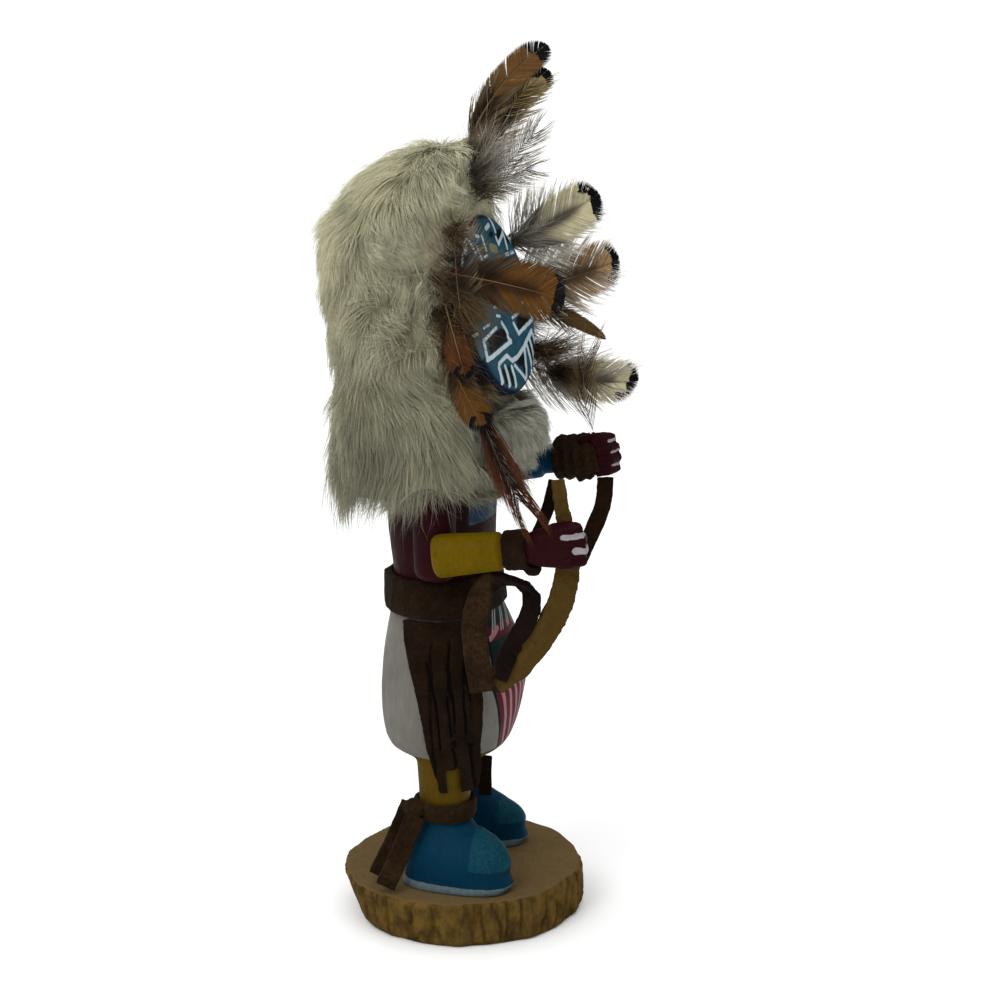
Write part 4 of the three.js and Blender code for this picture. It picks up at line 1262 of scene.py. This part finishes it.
def outline(share, pointed):
    share = np.clip(share, 0, 1)
    if pointed:
        return np.minimum(1, 0.3 + 1.6 * share) * np.sqrt(np.maximum(0, 1 - share ** 3))
    end = np.sqrt(np.maximum(0, 1 - (np.maximum(0, share - 0.72) / 0.28) ** 4))
    return np.minimum(1, 0.2 + 1.5 * share) * end


def barb_row(curve, side, half, first, knee_at, ends, reach, lift, width, taper, kind, random):
    """Barbs from the shares `first` of the shaft to the points that `ends`, `reach` and `lift` give.

    The tint holds the share of the shaft at the barb's end, the way left to that end in
    centimetres, the kind of barb with a value of its own added, and the way along the barb.
    """
    rings = BARB_RINGS
    face = unit(np.cross(curve(1.0) - curve(0.0), side))
    root = curve(first)
    tip = curve(ends) + side * (reach * half)[:, None] + face * (lift * half)[:, None]
    over = np.maximum(0, ends - 1)[:, None] * (curve(1.0) - curve(0.9)) * 10
    tip = tip + over
    knee = curve(first + knee_at * (ends - first)) + side * (0.5 * reach * half)[:, None]
    knee = knee + face * (lift * half * 0.3)[:, None]
    routes = np.stack([root * (1 - t) ** 2 + knee * 2 * t * (1 - t) + tip * t * t for t in rings], axis=1)
    if kind == LOOSE:
        routes[:, 2:] += random.normal(0, 0.02, (len(first), 4, 3)) * half
    widths = width[:, None] * (0.75 + 0.35 * rings) * (1 - taper * rings ** 5)
    length = np.linalg.norm(tip - root, axis=1)
    inward = (1 - rings) * length[:, None] / (10 * MM)
    kinds = kind + 0.5 * random.random(len(first))[:, None]
    tints = tinted(len(first), rings, ends[:, None], inward, kinds, rings)
    across = np.broadcast_to(unit(curve(1.0) - curve(0.0)), (len(first), 3))
    return bend(BARB_STRAND, routes, across, widths, np.minimum(widths * 0.5, 0.05 * MM), tints)


def vane(curve, side, half, begin, random, pointed, pitch):
    """The close part of a feather, from the share where it begins to the tip."""
    length = np.linalg.norm(curve(1.0) - curve(0.0))
    shares = np.linspace(begin, 1, 300)
    steps = np.hypot(np.diff(shares) * length, np.diff(outline(shares, pointed)) * half)
    way = np.concatenate([[0], np.cumsum(steps)])
    count = int(way[-1] / pitch)
    batches = []
    for hand in (-1.0, 1.0):
        spot = np.linspace(0, 1, count)
        bent = spot.copy()
        for gap in random.uniform(0.08, 0.72, 3):
            bent += 0.012 * np.sign(spot - gap) * np.exp(-np.abs(spot - gap) / 0.03)
        bent = np.clip(bent + random.normal(0, 0.002, count), 0, 1)
        ends = np.interp(bent * way[-1], way, shares)
        # the barbs spring from lower on the shaft than where they end
        lowest = max(0.04, begin - 0.22)
        first = lowest + (0.985 - lowest) * spot ** 1.1
        first = np.minimum(first, ends - 0.004)
        reach = hand * outline(ends, pointed) * (1 + random.normal(0, 0.012, count))
        wave = 0.05 * np.sin(9 * spot + random.uniform(0, 6))
        lift = -0.22 * np.abs(reach) + wave + random.normal(0, 0.012, count)
        width = np.full(count, 0.74 * pitch)
        batches.append(barb_row(curve, side, half, first, 0.42, ends, reach, lift, width,
                                taper=0.4, kind=VANE, random=random))
    return batches


def gathered(values, size, pull):
    """Neighbours drawn towards their mean, a few at a time, as barbs that cling together."""
    groups = np.arange(len(values)) // size
    means = np.bincount(groups, values) / np.bincount(groups)
    return values + pull * (means[groups] - values)


def loose(curve, side, half, stop, random, pitch, long_by, spread, cling=0.5):
    """Long barbs on the lower part of a feather, up to the share `stop`. Neighbours cling."""
    swept = long_by >= 0.5
    length = np.linalg.norm(curve(1.0) - curve(0.0))
    count = max(6, int(length * stop / pitch))
    batches = []
    for hand in (-1.0, 1.0):
        first = np.linspace(0.02, stop, count) + random.normal(0, 0.006, count)
        ends = gathered(first + long_by * random.uniform(0.7, 1.2, count), 5, cling + 0.1)
        ends = np.minimum(ends, 1 + (0.14 if swept else 0.07) * random.random(count))
        spans = (1.2 - 0.3 * first / stop) * random.uniform(0.6, 1.12, count) * spread
        reach = hand * gathered(spans, 5, cling)
        if not swept:
            reach = reach * np.sqrt(np.clip(1 - (np.maximum(0, ends - 0.6) / 0.5) ** 2, 0.1, 1))
        lift = gathered(random.normal(0, 0.16, count), 5, cling)
        width = np.full(count, 0.11 * MM) * random.uniform(0.6, 1.3, count)
        batches.append(barb_row(curve, side, half, first, 0.3, ends, reach, lift, width,
                                taper=0.75, kind=LOOSE, random=random))
    return batches


def shaft(curve, side, thickness):
    rings = SHAFT_RINGS
    tints = tinted(1, rings, rings, 0, SHAFT, rings)
    widths = thickness * (1 - 0.85 * rings)[None]
    return bend(SHAFT_STRAND, curve(rings * 0.99)[None], side[None], widths, widths, tints)


def tuft(place, way, length, count, spread, random):
    """Soft down that springs from one place."""
    rings = BARB_RINGS
    root = np.array(place) * MM + random.normal(0, 1.3, (count, 3)) * MM
    ways = unit(unit(np.array(way, float)) + random.normal(0, spread, (count, 3)))
    sag = random.normal(0, 0.22, (count, 3))
    reach = length * MM * random.uniform(0.5, 1.15, count)[:, None]
    routes = np.stack([root + reach * (ways * t + sag * t * t) for t in rings], axis=1)
    widths = 0.085 * MM * random.uniform(0.7, 1.3, count)[:, None] * (1 - 0.7 * rings ** 2)
    kinds = LOOSE + 0.5 * random.random(count)[:, None]
    tints = tinted(count, rings, 0.2, 1, kinds, rings)
    across = unit(np.cross(ways, random.normal(0, 1, (count, 3))))
    return bend(BARB_STRAND, routes, across, widths, widths * 0.5, tints)


def feather_colour(near, far, heart, body, band):
    """near and far colour the loose barbs, heart and body the vane; band is the dark tip's width."""
    def design(tree, place):
        ends, inward, kind, way = tint_values(tree)
        inward = calc(tree, "MULTIPLY", inward, 10.0)
        single = calc(tree, "MULTIPLY", calc(tree, "FRACT", kind), 2.0)
        plain = mixed(tree, between(tree, inward, 6.5, 11.0), body, heart)
        plain = mixed(tree, between(tree, ends, 0.46, 0.62), heart, plain)
        cloud = between(tree, noisy(tree, place, 210.0, 3.0), 0.35, 0.7)
        plain = mixed(tree, calc(tree, "MULTIPLY", cloud, 0.28), plain, heart)
        blot = between(tree, noisy(tree, place, 190.0, 2.0), 0.36, 0.64, 0.6, 1.4)
        edge = calc(tree, "MULTIPLY", calc(tree, "MULTIPLY", band, blot), between(tree, ends, 0.86, 0.93))
        ragged_edge = calc(tree, "MULTIPLY_ADD", single, 0.7, inward)
        black = between(tree, calc(tree, "SUBTRACT", edge, ragged_edge), -0.25, 0.1)
        plain = mixed(tree, black, plain, BLACK_TIP)
        airy = mixed(tree, between(tree, way, 0.15, 0.9), near, far)
        both = mixed(tree, calc(tree, "GREATER_THAN", kind, 0.8), plain, airy)
        both = mixed(tree, calc(tree, "GREATER_THAN", kind, 1.8), both, colour(128, 108, 76))
        shade = calc(tree, "MULTIPLY_ADD", single, 0.4, 0.8)
        return {"colour": shaded(tree, both, shade)}
    return design


def feather_finish(name, band, *tones):
    """Tones are near, far, heart and body, and band is in millimetres."""
    design = feather_colour(*(colour(*tone) for tone in tones), band)
    return material(name, design, roughness=0.55, specular=0.1)


GOLDEN = feather_finish("golden feather", 3.8, (34, 27, 18), (92, 80, 62), (56, 33, 12), (98, 64, 22))
BUFF = feather_finish(
    "buff feather", 3.4, (118, 111, 100), (222, 216, 204), (112, 105, 94), (222, 212, 174))
TAWNY = feather_finish(
    "tawny feather", 4.0, (92, 78, 62), (214, 200, 182), (96, 76, 52), (176, 142, 98))
CREST = feather_finish("crest feather", 3.8, (36, 25, 14), (120, 102, 76), (56, 37, 18), (110, 78, 42))
PALE_CREST = feather_finish(
    "pale crest feather", 3.4, (40, 28, 16), (158, 140, 108), (86, 66, 38), (174, 150, 104))
CHESTNUT = feather_finish(
    "chestnut feather", 3.6, (28, 20, 12), (84, 62, 42), (38, 20, 9), (80, 46, 18))
DOWN = feather_finish("grey down", 0.6, (50, 39, 27), (134, 120, 98), (54, 43, 31), (88, 76, 58))
PALE_DOWN = feather_finish(
    "pale down", 0.6, (88, 80, 70), (190, 183, 172), (84, 74, 62), (124, 116, 102))
BROWN_DOWN = feather_finish("brown down", 0.6, (36, 25, 14), (116, 94, 62), (50, 35, 19), (96, 73, 42))
RUSSET = feather_finish("russet hackle", 0.5, (26, 13, 8), (92, 52, 32), (28, 15, 9), (78, 42, 24))

# %% [markdown]
# Every feather states its finish, the share of the shaft where its close vane begins, how far its
# loose barbs reach out, how far forward they sweep, how many millimetres lie between them, and
# whether it is pointed. The quill of each is the end nearer to the head, or to the wrist for the one
# that is tied there. Four feathers also have pale strands that leave the vane along its edge.

# %% Feathers
HEAD = np.array((0.0, 5.0, 205.0)) * MM
LEFT_WRIST = np.array((20.0, -30.0, 150.0)) * MM
FEATHERS = {
    "crest_feather_back": (CREST, 0.16, 1.0, 0.3, 0.3, False),
    "crest_feather_front": (PALE_CREST, 0.2, 1.15, 0.3, 0.3, False),
    "crest_feather_low": (PALE_DOWN, 0.9, 1.2, 0.42, 0.35, True),
    "crest_plume": (DOWN, 0.9, 1.1, 0.4, 0.4, True),
    "left_feather_top": (BUFF, 0.26, 1.7, 0.28, 0.24, False),
    "left_feather_middle": (TAWNY, 0.32, 1.6, 0.32, 0.26, False),
    "left_feather_pointed": (BROWN_DOWN, 0.6, 1.1, 0.3, 0.35, True),
    "left_feather_low": (BUFF, 0.5, 1.0, 0.3, 0.3, False),
    "left_feather_cheek": (BROWN_DOWN, 0.8, 1.0, 0.42, 0.4, True),
    "right_feather_brow": (DOWN, 0.95, 1.5, 0.36, 0.45, True),
    "right_feather_golden": (GOLDEN, 0.24, 1.2, 0.28, 0.3, False),
    "right_feather_temple": (CHESTNUT, 0.4, 1.2, 0.3, 0.35, False),
    "right_feather_cheek": (GOLDEN, 0.35, 1.1, 0.3, 0.35, False),
    "right_hackle": (RUSSET, 0.95, 0.95, 0.6, 0.26, True),
    "left_wrist_feather": (BROWN_DOWN, 0.95, 0.5, 0.5, 0.7, True),
}
EDGED = ("left_feather_top", "left_feather_middle", "left_feather_low", "crest_feather_front")
VANE_PITCH = 0.24 * MM

for number, (node, (finish, begin, spread, sweep, gap, pointed)) in enumerate(FEATHERS.items()):
    curve, side, half = blade(node, LEFT_WRIST if "wrist" in node else HEAD)
    random = np.random.default_rng(100 + number)
    batches = [shaft(curve, side, (0.3 if begin < 0.7 else 0.16) * MM)]
    batches += loose(curve, side, half, max(0.4, begin - 0.12), random, gap * MM, sweep, spread)
    if node in EDGED:
        batches += loose(curve, side, half, 0.74, random, 0.34 * MM, 0.34, spread=1.4, cling=0.85)
    if begin < 0.9:
        width = half * (0.6 if pointed else 0.86 if node in EDGED else 0.94)
        batches += vane(curve, side, width, begin, random, pointed, VANE_PITCH)
    keep(node + "_barbs", strand_mesh(node, batches), finish, "feather", node)

# %% [markdown]
# Where the quills are tied in, a soft brown fluff hides the ends and softens the edge of the fur.

# %% Down where the feathers are tied
TUFTS = {
    # title: (finish, [(place in mm, way, length in mm, count, spread)])
    "crest_down": (DOWN, [
        ((-4, -2, 250), (0.1, -0.5, 1), 14, 340, 0.16),
        ((1, -4, 246), (0.15, -0.8, 0.9), 17, 240, 0.2),
        ((-6, -6, 241), (-0.2, -1, 0.3), 12, 120, 0.3),
    ]),
    "crest_fluff": (PALE_DOWN, [
        ((-6, -5, 247), (0.1, -0.85, 0.75), 22, 190, 0.14),
        ((-5, -6, 243), (0.1, -1, 0.35), 17, 150, 0.2),
    ]),
    "right_down": (BROWN_DOWN, [
        ((-26, -4, 232), (-0.3, -1, -0.5), 11, 160, 0.4),
        ((-29, -1, 217), (-0.3, -1, -0.4), 11, 260, 0.4),
        ((-30, -5, 216), (-0.08, -1, -0.8), 17, 300, 0.2),
        ((-31, -7, 204), (-0.05, -1, -0.9), 13, 200, 0.24),
        ((-30, -2, 207), (-0.2, -0.8, -0.9), 13, 320, 0.35),
        ((-31, -5, 196), (-0.2, -0.7, -1), 12, 300, 0.35),
        ((-31, -10, 184), (-0.2, -0.7, -0.9), 11, 240, 0.4),
        ((-29, -11, 211), (0.06, -0.75, -0.8), 12, 190, 0.2),
        ((-27, -14, 186), (0.05, -0.5, -1), 9, 150, 0.25),
    ]),
    "left_down": (PALE_DOWN, [
        ((24, -7, 221), (0.25, -1, 0.5), 17, 150, 0.28),
        ((28, -8, 206), (0.2, -1, 0.1), 15, 150, 0.3),
        ((28, -8, 195), (0.2, -1, -0.3), 13, 170, 0.3),
    ]),
    "left_low_down": (BROWN_DOWN, [
        ((27, -9, 186), (0.15, -1, -0.15), 21, 230, 0.2),
        ((29, -16, 184), (0.15, -1, 0.3), 17, 200, 0.26),
        ((29, -20, 178), (0.2, -1, -0.15), 17, 200, 0.26),
    ]),
}
for number, (title, (finish, places)) in enumerate(TUFTS.items()):
    random = np.random.default_rng(300 + number)
    batches = [tuft(*given, random) for given in places]
    keep(title, strand_mesh(title, batches), finish, "feather")

# %% [markdown]
# ## Finish
# `plain` rounds the corners of a box to five places.

# %% Finish
def plain(box):
    return [[round(value, 5) for value in corner] for corner in box]
